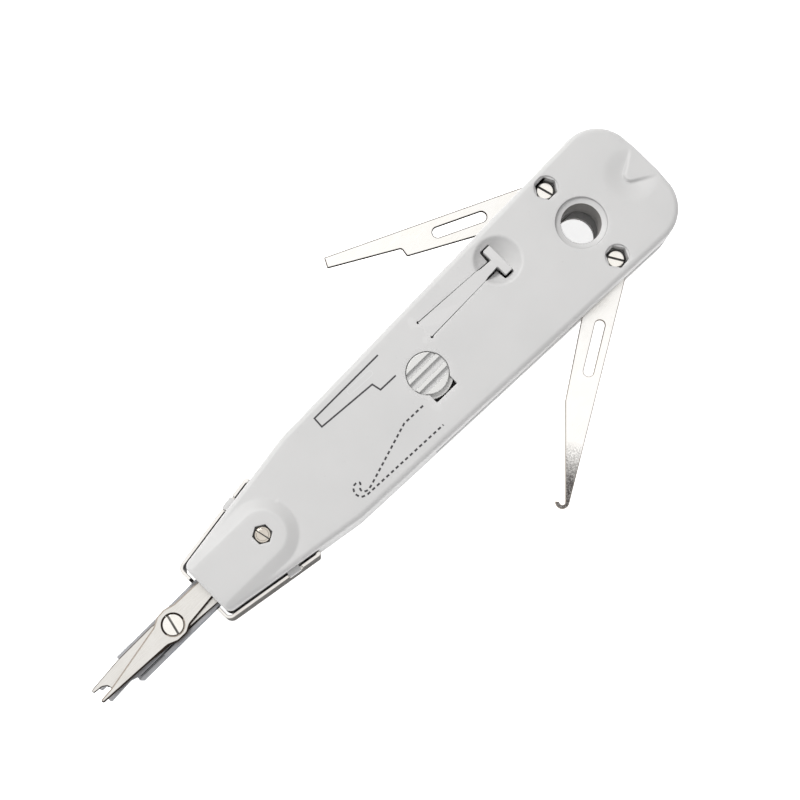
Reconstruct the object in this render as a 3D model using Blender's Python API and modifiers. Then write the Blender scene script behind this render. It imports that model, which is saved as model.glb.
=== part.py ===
"""Punch down tool with a fold-out knife and hook, as separate pieces.

Frame: metres, +X from the nose to the butt, +Y towards the knife, +Z out of the front face. The origin is on
the back face, half way along the housing, under the lock knob. Sizes below are millimetres and degrees; the
helpers turn them into metres.
"""

import math

import bmesh
import bpy
from mathutils import Matrix, Vector

MM = 0.001
GAP = 0.3  # clearance between pieces that meet

# Housing
THICKNESS = 19.0
SPLIT = THICKNESS / 2  # height of the parting plane
NOSE_X, KINK_X, BUTT_X = -71.5, -34.5, 72.9
NOSE_HALF, KINK_HALF, BUTT_HALF = 7.4, 13.2, 17.05
BUTT_RADIUS, NOSE_RADIUS = 9.75, 1.7
RIM = 1.5  # rounding of the outer rims
WALL = 2.0
ROOF = 17.2  # inner height of the front wall
CAVITY_X = -43.0
RAIL_Y, RAIL_START_X = 5.0, -42.0  # guide ribs beside the mechanism
FRONT_RAIL_END, BACK_RAIL_END = -9.0, 37.5
SCREW_POCKET, NUT_POCKET = 14.0, THICKNESS - 3.1  # floors of the hexagonal pockets, on a front half
STRAP_END_X, STRAP_LOW, STRAP_HIGH = -46.6, 1.6, 15.2
TAB_X, TAB_Y, TAB_Z = (-55.5, -52.3), (8.8, 11.85), (13.6, 16.4)  # tabs that locate the strap
ARROW_APEX, ARROW_SLOPE, ARROW_ROUND = 65.1, 0.61, 1.2
TUNNEL_HALF, TUNNEL_TOP = 4.7, 14.4

# Raised boss round the nose screw
BOSS_TOP, BOSS_TOP_HALF, BOSS_BASE_HALF = 20.5, 5.7, 8.3

# Fasteners, hanging hole and fold-out pieces
NOSE_SCREW_X, NOSE_HEX_TURN = -53.5, 30.0
HOLE_X, HOLE_RADIUS = 51.0, 4.75
HOLE_MOUTH, HOLE_CONE = 6.2, 1.3  # the front mouth opens to this radius over this depth
TUBE_RADIUS = 6.6
KNIFE_HINGE, HOOK_HINGE = (50.95, 11.7), (51.3, -11.55)
POST_RADIUS = 3.8
KNIFE_LOW, KNIFE_HIGH = 10.6, 11.6
KNIFE_ANGLE, HOOK_ANGLE = 24.6, 30.8  # opened, from the housing's axis
OPEN_LIMIT = 155.0  # how far the slots let a blade swing out
SLOT_START_X, SLOT_TOP = -10.5, 12.3
SLOT_REACH = 4.1  # from a hinge to the side of the slot that its blade stops at

# Sprung tongue with a T end; the root is its hinge
LATCH_ROOT = (6.8, 7.7)
LATCH_T = (30.55, 7.5)
LATCH_BAR, LATCH_LOW = (2.2, 7.7), 17.4
DIMPLE_RADIUS, DIMPLE_DEPTH = 5.8, 2.6

# Lock knob
KNOB_RADIUS, KNOB_TOP, FLANGE_RADIUS = 5.0, 19.1, 6.1
KNOB_PIN_Y = 2.5

# Carriage with the scissors
PIVOT_X = -82.5
CHANNEL_HALF, CHANNEL_WALL = 4.1, 0.9
CHANNEL_LOW, CHANNEL_HIGH = 5.2, 10.8
BLADE_THICK = 1.2
FIXED_LOW, MOVING_LOW = 11.1, 12.6
STROKE, CLOSE_ANGLE = 5.0, 5.0
CAM_X = -63.5
ROD_Z, ROD_RADIUS = 8.5, 1.5
SEAR_X, SEAR_Z = -20.0, 14.2

PLASTIC = ((0.66, 0.655, 0.65), 0.55, 0.0)
BRIGHT_STEEL = ((0.72, 0.7, 0.67), 0.25, 1.0)
SATIN_STEEL = ((0.42, 0.42, 0.43), 0.38, 1.0)
DARK_STEEL = ((0.12, 0.12, 0.125), 0.4, 1.0)


def clear_scene():
    for obj in list(bpy.data.objects):
        bpy.data.objects.remove(obj, do_unlink=True)


def new_collection(name):
    collection = bpy.data.collections.new(name)
    bpy.context.scene.collection.children.link(collection)
    return collection


clear_scene()
PARTS = new_collection("punch_down_tool")
CUTTERS = new_collection("cutters")


# ---------------------------------------------------------------- helpers


def move_to(obj, collection):
    for old in list(obj.users_collection):
        old.objects.unlink(obj)
    collection.objects.link(obj)


def mesh_object(name, build):
    """A mesh object whose bmesh is filled by build, in millimetres."""
    mesh = bpy.data.meshes.new(name)
    shape = bmesh.new()
    build(shape)
    bmesh.ops.recalc_face_normals(shape, faces=shape.faces)
    shape.to_mesh(mesh)
    shape.free()
    mesh.transform(Matrix.Scale(MM, 4))
    obj = bpy.data.objects.new(name, mesh)
    CUTTERS.objects.link(obj)
    return obj


def box(name, low, high):
    size = Vector(high) - Vector(low)
    centre = (Vector(high) + Vector(low)) / 2

    def build(shape):
        bmesh.ops.create_cube(shape, size=1.0)
        bmesh.ops.scale(shape, vec=size, verts=shape.verts)
        bmesh.ops.translate(shape, vec=centre, verts=shape.verts)

    return mesh_object(name, build)


def drum(name, centre, radius, low, high, sides=24, top_radius=None):
    """Upright cylinder or cone."""
    place = Matrix.Translation((*centre, (low + high) / 2))

    def build(shape):
        bmesh.ops.create_cone(
            shape,
            cap_ends=True,
            segments=sides,
            radius1=radius,
            radius2=radius if top_radius is None else top_radius,
            depth=high - low,
            matrix=place,
        )

    return mesh_object(name, build)


def rounded(corners, step=18.0):
    """Closed outline through (x, y, radius) corners, each turned into an arc of its radius."""
    outline = []
    for index, (x, y, radius) in enumerate(corners):
        corner = Vector((x, y))
        if radius <= 0:
            outline.append((x, y))
            continue
        back = (Vector(corners[index - 1][:2]) - corner).normalized()
        ahead = (Vector(corners[(index + 1) % len(corners)][:2]) - corner).normalized()
        half = back.angle(ahead) / 2
        centre = corner + (back + ahead).normalized() * (radius / math.sin(half))
        first = corner + back * (radius / math.tan(half)) - centre
        last = corner + ahead * (radius / math.tan(half)) - centre
        start = math.atan2(first.y, first.x)
        sweep = (math.atan2(last.y, last.x) - start + math.pi) % (2 * math.pi) - math.pi
        count = max(1, math.ceil(abs(sweep) / math.radians(step)))
        outline += circle(centre, radius, start, start + sweep, count + 1)
    return outline


def circle(centre, radius, start=0.0, end=None, count=24):
    """Points on an arc, or round a whole circle where no end is given."""
    if end is None:
        angles = [start + 2 * math.pi * k / count for k in range(count)]
    else:
        angles = [start + (end - start) * k / (count - 1) for k in range(count)]
    return [(centre[0] + radius * math.cos(a), centre[1] + radius * math.sin(a)) for a in angles]


def stadium(start, end, radius, count=7):
    """Outline of a slot between two centres."""
    along = math.atan2(end[1] - start[1], end[0] - start[0])
    quarter = math.pi / 2
    return circle(end, radius, along - quarter, along + quarter, count) + circle(
        start, radius, along + quarter, along + 3 * quarter, count
    )


def slab(name, outlines, low, high):
    """Flat piece between two heights. Outlines inside the first one are its holes."""
    curve = bpy.data.curves.new(name, "CURVE")
    curve.dimensions = "2D"
    curve.fill_mode = "BOTH"
    curve.extrude = (high - low) / 2
    for outline in outlines:
        spline = curve.splines.new("POLY")
        spline.points.add(len(outline) - 1)
        for point, (x, y) in zip(spline.points, outline):
            point.co = (x, y, 0.0, 1.0)
        spline.use_cyclic_u = True
    source = bpy.data.objects.new(name + "_curve", curve)
    source.location.z = (low + high) / 2 * MM
    source.scale = (MM, MM, MM)
    CUTTERS.objects.link(source)
    return curve_to_mesh(source, name)


def curve_to_mesh(source, name):
    bpy.context.view_layer.update()
    graph = bpy.context.evaluated_depsgraph_get()
    mesh = bpy.data.meshes.new_from_object(source.evaluated_get(graph))
    mesh.transform(source.matrix_world)
    shape = bmesh.new()
    shape.from_mesh(mesh)
    bmesh.ops.remove_doubles(shape, verts=shape.verts, dist=1e-6)
    bmesh.ops.recalc_face_normals(shape, faces=shape.faces)
    shape.to_mesh(mesh)
    shape.free()
    mesh.name = name
    bpy.data.objects.remove(source, do_unlink=True)
    obj = bpy.data.objects.new(name, mesh)
    CUTTERS.objects.link(obj)
    return obj


def turned(name, profile, centre=(0.0, 0.0, 0.0), along_x=False, steps=24):
    """Solid of revolution from (radius, height) pairs down its outer side, closed if it is a tube's."""
    edges = [(k, k + 1) for k in range(len(profile) - 1)]
    if profile[0][0] > 0:
        edges.append((len(profile) - 1, 0))
    mesh = bpy.data.meshes.new(name)
    mesh.from_pydata([(radius * MM, 0.0, height * MM) for radius, height in profile], edges, [])
    obj = bpy.data.objects.new(name, mesh)
    obj.location = Vector(centre) * MM
    if along_x:
        obj.rotation_euler.y = math.pi / 2
    screw = obj.modifiers.new("turn", "SCREW")
    screw.steps = steps
    screw.render_steps = steps
    screw.use_merge_vertices = True
    screw.merge_threshold = 0.00001
    screw.use_smooth_shade = False
    CUTTERS.objects.link(obj)
    return obj


def coil(name, start, end, radius, wire, turns, points_per_turn=10):
    """Compression spring between two points, with closed end turns."""
    along = Vector(end) - Vector(start)
    frame = along.to_track_quat("Z", "Y").to_matrix()
    count = int(turns * points_per_turn)
    curve = bpy.data.curves.new(name, "CURVE")
    curve.dimensions = "3D"
    curve.bevel_depth = wire
    curve.bevel_resolution = 1
    curve.use_fill_caps = True
    spline = curve.splines.new("POLY")
    spline.points.add(count)
    for index, point in enumerate(spline.points):
        share = index / count
        angle = 2 * math.pi * turns * share
        local = Vector((radius * math.cos(angle), radius * math.sin(angle), along.length * share))
        point.co = (*(Vector(start) + frame @ local), 1.0)
    source = bpy.data.objects.new(name + "_curve", curve)
    source.scale = (MM, MM, MM)
    CUTTERS.objects.link(source)
    return curve_to_mesh(source, name)


def loft(name, rings):
    """Closed solid through rings of (x, y, z) points that share one count."""

    def build(shape):
        rows = [[shape.verts.new(point) for point in ring] for ring in rings]
        count = len(rows[0])
        for lower, upper in zip(rows, rows[1:]):
            for k in range(count):
                after = (k + 1) % count
                shape.faces.new((lower[k], lower[after], upper[after], upper[k]))
        shape.faces.new(rows[0])
        shape.faces.new(rows[-1])

    return mesh_object(name, build)


def round_rim(obj, height, radius, segments=3):
    """Rounds the rim of the flat face at a height."""
    shape = bmesh.new()
    shape.from_mesh(obj.data)
    bmesh.ops.dissolve_limit(shape, angle_limit=math.radians(0.5), verts=shape.verts, edges=shape.edges)
    rim = [
        edge
        for edge in shape.edges
        if all(abs(vert.co.z - height * MM) < 1e-6 for vert in edge.verts)
        and any(abs(face.normal.z) < 0.5 for face in edge.link_faces)
    ]
    bmesh.ops.bevel(
        shape,
        geom=rim,
        offset=radius * MM,
        segments=segments,
        profile=0.5,
        affect="EDGES",
        clamp_overlap=False,
    )
    shape.to_mesh(obj.data)
    shape.free()


def combine(target, tools, operation):
    for tool in tools:
        modifier = target.modifiers.new(tool.name, "BOOLEAN")
        modifier.operation = operation
        modifier.solver = "EXACT"
        modifier.object = tool
        tool.hide_render = True
        tool.display_type = "WIRE"


def cut(target, *tools):
    combine(target, tools, "DIFFERENCE")


def join(target, *tools):
    combine(target, tools, "UNION")


def flip_over(obj):
    """Turns a piece of the front half over into the back half: half a turn about the parting line."""
    turn = Matrix.Translation((0, 0, SPLIT * MM)) @ Matrix.Rotation(math.pi, 4, "X")
    turn = turn @ Matrix.Translation((0, 0, -SPLIT * MM))
    for piece in [obj] + [modifier.object for modifier in obj.modifiers if modifier.type == "BOOLEAN"]:
        bpy.context.view_layer.update()
        piece.matrix_world = turn @ piece.matrix_world


def on_axis(obj, point, turn=0.0):
    """Moves a piece's origin to a point on its joint's axis and turns it there about Z."""
    obj.data.transform(Matrix.Translation(-Vector(point) * MM))
    obj.location = Vector(point) * MM
    obj.rotation_euler.z = math.radians(turn)


def finish(obj, name, look, smooth=True):
    """Names a finished piece, gives it its own material and files it with the parts."""
    colour, roughness, metallic = look
    obj.name = name
    obj.data.name = name
    material = bpy.data.materials.new(name)
    material.use_nodes = True
    shader = material.node_tree.nodes["Principled BSDF"]
    shader.inputs["Base Color"].default_value = (*colour, 1.0)
    shader.inputs["Roughness"].default_value = roughness
    shader.inputs["Metallic"].default_value = metallic
    obj.data.materials.clear()
    obj.data.materials.append(material)
    if smooth and obj.data.polygons:
        obj.data.shade_smooth()
        obj.data.set_sharp_from_angle(angle=math.radians(35))
    obj.hide_render = False
    move_to(obj, PARTS)
    return obj


# ---------------------------------------------------------------- housing


def housing_outline(inset=0.0, nose=NOSE_X):
    slope = (KINK_HALF - NOSE_HALF) / (KINK_X - NOSE_X)
    nose_half = NOSE_HALF + slope * (nose - NOSE_X) - inset
    radius = max(NOSE_RADIUS - inset, 0.5)
    half = [
        (nose, nose_half, radius),
        (KINK_X, KINK_HALF - inset, 12.0),
        (BUTT_X - inset, BUTT_HALF - inset, BUTT_RADIUS - inset),
    ]
    return rounded([(x, -y, r) for x, y, r in half] + half[::-1], step=15.0)


def latch_outline(margin=0.0):
    """The sprung tongue: root, taper and T bar, grown by a margin."""
    root_x, root_y = LATCH_ROOT
    bar_x, bar_y = LATCH_T
    near, far = bar_x - LATCH_BAR[0] / 2 - margin, bar_x + LATCH_BAR[0] / 2 + margin
    bar = LATCH_BAR[1] / 2 + margin
    root, neck = 2.25 + margin, 1.05 + margin
    corner = 0.4 + margin / 2
    return rounded(
        [
            (root_x - margin, root_y - root, corner),
            (near, bar_y - neck, 0.3),
            (near, bar_y - bar, corner),
            (far, bar_y - bar, corner),
            (far, bar_y + bar, corner),
            (near, bar_y + bar, corner),
            (near, bar_y + neck, 0.3),
            (root_x - margin, root_y + root, corner),
        ],
        step=45.0,
    )


def swing_slot(hinge):
    """Plan of the opening in the side wall that a folding blade swings through."""
    lean = math.radians(180.0 - OPEN_LIMIT)
    start = Vector(hinge) + Vector((math.sin(lean), -math.cos(lean))) * SLOT_REACH
    far = start + Vector((math.cos(lean), math.sin(lean))) * 33.0
    return [
        (SLOT_START_X, 9.0),
        (hinge[0], 9.0),
        tuple(start),
        tuple(far),
        (far.x, 30.0),
        (SLOT_START_X, 30.0),
    ]


def half_shell(name, pocket_floor, rail_end, near, far):
    """One moulded half, made as the front half: its +Y side has the slot of the blade on the near hinge."""
    shell = slab(name, [housing_outline()], SPLIT + GAP / 2, THICKNESS)
    round_rim(shell, THICKNESS, RIM)
    cavity = slab(name + "_cavity", [housing_outline(WALL, CAVITY_X)], SPLIT - 2, ROOF)
    tunnel_low, tunnel_high = (NOSE_X - 2, -TUNNEL_HALF, SPLIT - 2), (CAVITY_X + 1, TUNNEL_HALF, TUNNEL_TOP)
    tunnel = box(name + "_tunnel", tunnel_low, tunnel_high)
    slot = slab(name + "_slot", [swing_slot(near)], SPLIT - 2, SLOT_TOP)
    cut(shell, cavity, tunnel, slot)

    low = SPLIT + GAP / 2
    tube = drum(name + "_tube", (HOLE_X, 0), TUBE_RADIUS, low, ROOF + 0.4, 32)
    blade_post = drum(name + "_post_a", near, POST_RADIUS, KNIFE_HIGH + 0.4, ROOF + 0.4)
    other_post = drum(name + "_post_b", far, POST_RADIUS, low, ROOF + 0.4)
    rib = box(name + "_rib", (37.0, -6.6, low), (39.0, 6.6, ROOF + 0.4))
    pad = drum(name + "_pad", LATCH_T, DIMPLE_RADIUS + 1.4, ROOF - 2.2, ROOF + 0.3, 32)
    join(shell, tube, blade_post, other_post, rib, pad)
    for y in (RAIL_Y, -RAIL_Y):
        join(shell, box(f"{name}_rail_{y}", (RAIL_START_X, y - 0.5, low), (rail_end, y + 0.5, ROOF + 0.4)))

    ball = (DIMPLE_RADIUS**2 + DIMPLE_DEPTH**2) / (2 * DIMPLE_DEPTH)
    level = math.sqrt(ball**2 - DIMPLE_RADIUS**2)
    heights = [0.8 - k * (0.8 + DIMPLE_DEPTH) / 8 for k in range(9)]
    profile = [(0.0, 0.8)] + [(math.sqrt(max(ball**2 - (level - h) ** 2, 0.0)), h) for h in heights]
    dimple = turned(name + "_dimple", profile, (*LATCH_T, THICKNESS), steps=32)
    latch = slab(name + "_latch", [latch_outline(0.35)], ROOF - 3.5, THICKNESS + 1)
    bore = drum(name + "_bore", (HOLE_X, 0), HOLE_RADIUS, SPLIT - 2, THICKNESS + 1, 32)
    cut(shell, dimple, latch, bore)
    for index, (hinge, turn) in enumerate(((near, -2.0), (far, 4.0))):
        shank = drum(f"{name}_shank_{index}", hinge, 1.6, SPLIT - 2, THICKNESS + 1, 16)
        hexagon = circle(hinge, 2.9, math.radians(turn), count=6)
        pocket = slab(f"{name}_pocket_{index}", [hexagon], pocket_floor, THICKNESS + 1)
        cut(shell, shank, pocket)
    return shell


def cut_nose_screw(shell, name, floor, radius):
    shank = drum(name + "_nose_shank", (NOSE_SCREW_X, 0), 1.5, SPLIT - 2, BOSS_TOP + 2, 16)
    hexagon = circle((NOSE_SCREW_X, 0), radius, math.radians(NOSE_HEX_TURN), count=6)
    pocket = slab(name + "_nose_pocket", [hexagon], floor, BOSS_TOP + 2)
    cut(shell, shank, pocket)


def boss_ring(half, height, inset):
    """U-shaped ring: straight sides along the nose, a half circle round the nose screw."""
    slope = (KINK_HALF - NOSE_HALF) / (KINK_X - NOSE_X)
    nose = NOSE_X + inset
    sides = [(nose + share * (NOSE_SCREW_X - nose), share) for share in (0.0, 0.25, 0.5, 0.75)]
    right = []
    for x, _ in sides:
        edge = NOSE_HALF + slope * (x - NOSE_X) - 0.12
        right.append((x, min(half, edge)))
    arc = circle((NOSE_SCREW_X, 0.0), half, -math.pi / 2, math.pi / 2, 13)
    plan = [(x, -y) for x, y in right] + arc + [(x, y) for x, y in right[::-1]]
    return [(x, y, height) for x, y in plan]


def make_boss():
    return loft(
        "boss",
        [
            boss_ring(BOSS_BASE_HALF, THICKNESS - 2.2, 0.05),
            boss_ring(BOSS_BASE_HALF, THICKNESS + 0.02, 0.05),
            boss_ring(BOSS_TOP_HALF, BOSS_TOP, 0.3),
        ],
    )


def make_arrow_valley():
    """Shallow dish at the butt with the arrow wedge left standing in it."""
    reach, depth = 7.0, 1.0
    ball = (reach**2 + depth**2) / (2 * depth)
    level = ball - depth
    heights = [0.8 - k * (0.8 + depth) / 5 for k in range(6)]
    profile = [(0.0, 0.8)] + [(math.sqrt(max(ball**2 - (level - h) ** 2, 0.0)), h) for h in heights]
    dish = turned("arrow_dish", profile, (ARROW_APEX + 2.4, 0.0, THICKNESS), steps=32)
    far = BUTT_X + 3
    half = ARROW_SLOPE * (far - ARROW_APEX)
    corners = [(ARROW_APEX, 0.0, ARROW_ROUND), (far, -half, 0.0), (far, half, 0.0)]
    wedge = slab("arrow_wedge", [rounded(corners)], THICKNESS - 4, THICKNESS + 4)
    cut(dish, wedge)
    return dish


def make_front_shell():
    shell = half_shell("front_shell", SCREW_POCKET, FRONT_RAIL_END, KNIFE_HINGE, HOOK_HINGE)
    join(shell, make_boss())
    for side in (1, -1):
        low_y, high_y = sorted(side * y for y in TAB_Y)
        join(shell, box(f"tab_{side}", (TAB_X[0], low_y, TAB_Z[0]), (TAB_X[1], high_y, TAB_Z[1])))
    cut_nose_screw(shell, "front_shell", 17.6, 2.42)
    cam_hole = drum("cam_hole", (CAM_X, 0), 1.0, TUNNEL_TOP - 1, 17.0, 16)
    knob_hole = drum("knob_hole", (0, 0), KNOB_RADIUS + 0.25, ROOF - 1, THICKNESS + 1, 32)
    notch = box("knob_notch", (-3.3, -6.3, ROOF - 1), (3.3, 0.0, THICKNESS + 1))
    sear_hole = drum("sear_hole", (0, 0), 0.9, -8.0, 8.0, 16)
    sear_hole.rotation_euler.x = math.pi / 2
    sear_hole.location = Vector((SEAR_X, 0.0, SEAR_Z)) * MM
    flare = (HOLE_MOUTH - HOLE_RADIUS) / HOLE_CONE
    cone = [THICKNESS - HOLE_CONE - 0.2, THICKNESS + 0.8]
    wide = HOLE_MOUTH + 0.8 * flare
    mouth = drum("hole_mouth", (HOLE_X, 0), HOLE_RADIUS - 0.2 * flare, *cone, 32, wide)
    cut(shell, cam_hole, knob_hole, notch, sear_hole, mouth, make_arrow_valley())
    return finish(shell, "front_shell", PLASTIC)


def make_back_shell():
    hinges = [(x, -y) for x, y in (HOOK_HINGE, KNIFE_HINGE)]
    shell = half_shell("back_shell", NUT_POCKET, BACK_RAIL_END, *hinges)
    cut_nose_screw(shell, "back_shell", THICKNESS - 2.9, 2.6)
    flip_over(shell)
    return finish(shell, "back_shell", PLASTIC)


def make_nose_strap():
    """Steel strip bent round the nose, open on top where the scissors come out."""
    gap, thick = 0.5, 0.8
    slope = (KINK_HALF - NOSE_HALF) / (KINK_X - NOSE_X)
    front_out, front_in = NOSE_X - gap - thick, NOSE_X - gap

    def half(x, offset):
        return NOSE_HALF + slope * (x - NOSE_X) + offset

    outer = [
        (STRAP_END_X, half(STRAP_END_X, gap), 0.0),
        (STRAP_END_X, half(STRAP_END_X, gap + thick), 0.5),
        (front_out, half(front_out, gap + thick), 1.9),
    ]
    inner = [(front_in, half(front_in, gap), 1.1)]
    corners = outer + [(x, -y, r) for x, y, r in outer[::-1]]
    corners += [(x, -y, r) for x, y, r in inner] + inner
    strap = slab("nose_strap", [rounded(corners)], STRAP_LOW, STRAP_HIGH)
    window = box("strap_window", (NOSE_X - 4, -4.75, 4.3), (NOSE_X + 2, 4.75, 20.0))
    cut(strap, window)
    for side in (1, -1):
        low_y, high_y = sorted((side * 8.0, side * 14.0))
        low, high = (TAB_X[0] - 0.4, low_y, TAB_Z[0] - 0.4), (TAB_X[1] + 0.4, high_y, 20.0)
        cut(strap, box(f"strap_notch_{side}", low, high))
    return finish(strap, "nose_strap", BRIGHT_STEEL)


# ---------------------------------------------------------------- fasteners


def slotted_screw(name, centre, head, shank, top, head_low, tip, slot_turn, slot=(0.55, 0.6)):
    """Cheese-head screw: head and shank are radii, heights run down from the head's top."""
    edge = 0.2
    profile = [
        (0.0, top),
        (head - edge, top),
        (head, top - edge),
        (head, head_low),
        (shank, head_low),
        (shank, tip + 0.3),
        (shank - 0.3, tip),
        (0.0, tip),
    ]
    screw = turned(name, profile, (*centre, 0.0))
    wide, deep = slot
    groove = box(name + "_groove", (-head - 1, -wide / 2, top - deep), (head + 1, wide / 2, top + 1))
    groove.location = Vector((*centre, 0.0)) * MM
    groove.rotation_euler.z = math.radians(slot_turn)
    cut(screw, groove)
    return finish(screw, name, BRIGHT_STEEL)


def hexagon_nut(name, centre, radius, bore, low, high, turn=0.0):
    hexagon = circle(centre, radius, math.radians(turn), count=6)
    return finish(slab(name, [hexagon, circle(centre, bore, count=20)], low, high), name, BRIGHT_STEEL)


def washer(name, centre, inner, outer, low, high, look=SATIN_STEEL):
    return finish(slab(name, [circle(centre, outer), circle(centre, inner)], low, high), name, look)


def make_fasteners():
    slotted_screw("nose_screw", (NOSE_SCREW_X, 0), 1.85, 1.2, 19.6, 17.9, 0.8, -77.0, (0.35, 0.5))
    hexagon_nut("nose_nut", (NOSE_SCREW_X, 0), 2.3, 1.5, 0.6, 2.6, -NOSE_HEX_TURN)
    turns = ("knife", KNIFE_HINGE, -75.0, -4.0), ("hook", HOOK_HINGE, -59.0, 2.0)
    for name, hinge, slot_turn, nut_turn in turns:
        slotted_screw(name + "_screw", hinge, 2.0, 1.3, 15.7, 14.3, 1.0, slot_turn)
        hexagon_nut(name + "_nut", hinge, 2.6, 1.6, 0.7, 2.8, nut_turn)
    middle = THICKNESS - KNIFE_LOW + GAP
    washer("knife_washer", KNIFE_HINGE, 1.65, 3.1, SPLIT + GAP / 2, KNIFE_LOW - GAP)
    washer("hook_washer", HOOK_HINGE, 1.65, 3.1, middle, SPLIT - GAP / 2)


# ---------------------------------------------------------------- fold-out pieces


def make_knife():
    """Stepped blade. Its own -X runs from the hinge to the tip, +Y is the straight edge."""
    edge, root, step_x = 3.42, 3.9, -35.7
    outline = rounded(
        [
            (root, edge, 3.2),
            (-54.35, edge, 0.3),
            (-54.45, edge - 2.7, 0.3),
            (step_x - 0.6, edge - 4.2, 0.8),
            (step_x, edge - 6.4, 0.5),
            (-12.0, edge - 7.8, 8.0),
            (root, edge - 7.7, 3.6),
        ]
    )
    holes = [circle((0, 0), 1.7, count=20), stadium((-26.85, 0.0), (-15.85, 0.0), 1.25)]
    knife = slab("knife", [outline] + holes, KNIFE_LOW, KNIFE_HIGH)
    on_axis(knife, (0, 0, 0), -KNIFE_ANGLE)
    knife.location = Vector((*KNIFE_HINGE, 0.0)) * MM
    return finish(knife, "knife", BRIGHT_STEEL)


def make_hook():
    """Pointed blade with a curled end. Its own -X runs from hinge to tip, -Y is the straight edge."""
    edge, root, curl = -3.82, 3.9, 1.7
    centre = (-59.82 + curl, edge + curl)
    outer = circle(centre, curl, math.radians(270), math.radians(100), 13)
    inner = circle(centre, curl - 1.0, math.radians(100), math.radians(275), 13)
    outline = rounded(
        [(x, y, 0.0) for x, y in outer + inner]
        + [
            (-34.7, edge + 6.8, 1.0),
            (-14.0, edge + 7.8, 8.0),
            (root, edge + 7.7, 3.6),
            (root, edge, 3.6),
        ]
    )
    holes = [circle((0, 0), 1.7, count=20), stadium((-26.4, -0.68), (-14.9, -0.62), 1.2)]
    hook = slab("hook", [outline] + holes, THICKNESS - KNIFE_HIGH, THICKNESS - KNIFE_LOW)
    on_axis(hook, (0, 0, 0), HOOK_ANGLE)
    hook.location = Vector((*HOOK_HINGE, 0.0)) * MM
    return finish(hook, "hook", BRIGHT_STEEL)


def make_latch(name):
    """Sprung T tongue with a leg and foot that reach under the folded blade's slot."""
    latch = slab(name, [latch_outline()], LATCH_LOW, THICKNESS)
    x, y = LATCH_T
    leg = box(name + "_leg", (x - 1.0, 5.9, 9.1), (x + 1.0, 6.9, LATCH_LOW + 0.3))
    foot = box(name + "_foot", (x - 1.0, 5.95, 9.0), (x + 1.0, 12.2, 10.2))
    on_axis(latch, (*LATCH_ROOT, 18.2))
    join(latch, leg, foot)
    return latch


# ---------------------------------------------------------------- lock knob


def make_lock_knob():
    profile = [
        (0.0, KNOB_TOP),
        (KNOB_RADIUS - 0.25, KNOB_TOP),
        (KNOB_RADIUS, KNOB_TOP - 0.25),
        (KNOB_RADIUS, 16.9),
        (FLANGE_RADIUS, 16.9),
        (FLANGE_RADIUS, 15.7),
        (0.0, 15.7),
    ]
    knob = turned("lock_knob", profile, steps=40)
    floor = KNOB_TOP - 1.0
    for index, (y, width) in enumerate(((-2.55, 1.15), (0.0, 1.6), (2.55, 1.15))):
        low, high = (-6.5, y - width / 2, floor), (6.5, y + width / 2, KNOB_TOP + 1)
        cut(knob, box(f"groove_{index}", low, high))
    join(knob, drum("knob_pin", (0, KNOB_PIN_Y), 0.7, 12.7, 16.0, 12))
    finish(knob, "lock_knob", PLASTIC)
    washer("knob_washer", (0, 0), 3.6, 5.7, 14.75, 15.35)
    plate = rounded([(-6.0, -4.3, 0.8), (13.0, -4.3, 0.8), (13.0, 4.3, 0.8), (-6.0, 4.3, 0.8)], 45.0)
    slot = stadium((0.0, 0.2), (0.0, KNOB_PIN_Y - 0.2), 1.35)
    finish(slab("lock_slide", [plate, slot], 13.2, 14.3), "lock_slide", SATIN_STEEL)


# ---------------------------------------------------------------- carriage


def make_channel():
    channel = box("channel", (-97.0, -CHANNEL_HALF, CHANNEL_LOW), (-47.0, CHANNEL_HALF, CHANNEL_HIGH))
    inner = CHANNEL_HALF - CHANNEL_WALL
    trough = box("trough", (-99.0, -inner, CHANNEL_LOW + CHANNEL_WALL), (-45.0, inner, CHANNEL_HIGH + 1))
    step = box("wall_step", (-99.0, -CHANNEL_HALF - 1, 8.3), (-88.8, -2.0, CHANNEL_HIGH + 1))
    corner_outline = [(-95.0, -5.5), (-98.5, -5.5), (-98.5, -1.9)]
    corner = slab("tip_corner", [corner_outline], CHANNEL_LOW - 1, CHANNEL_HIGH + 1)
    screw_slot = slab("screw_slot", [stadium((-58.6, 0), (-53.4, 0), 1.7)], CHANNEL_LOW - 1, CHANNEL_HIGH)
    pivot_hole = drum("channel_pivot_hole", (PIVOT_X, 0), 1.8, CHANNEL_LOW - 1, CHANNEL_HIGH, 20)
    cut(channel, trough, step, corner, screw_slot, pivot_hole)
    return finish(channel, "channel", SATIN_STEEL)


def make_foot():
    outline = rounded(
        [
            (-76.0, 2.8, 0.5),
            (-97.0, 2.8, 2.0),
            (-105.0, 2.2, 0.5),
            (-105.0, 1.0, 0.4),
            (-101.5, 0.9, 0.5),
            (-101.5, -0.9, 0.5),
            (-105.2, -1.3, 0.4),
            (-105.2, -2.45, 0.5),
            (-98.5, -2.05, 1.0),
            (-96.0, -2.8, 1.0),
            (-76.0, -2.8, 0.5),
        ]
    )
    hole = circle((PIVOT_X, 0), 1.8, count=20)
    return finish(slab("inserter_foot", [outline, hole], 6.4, 8.2), "inserter_foot", SATIN_STEEL)


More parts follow.
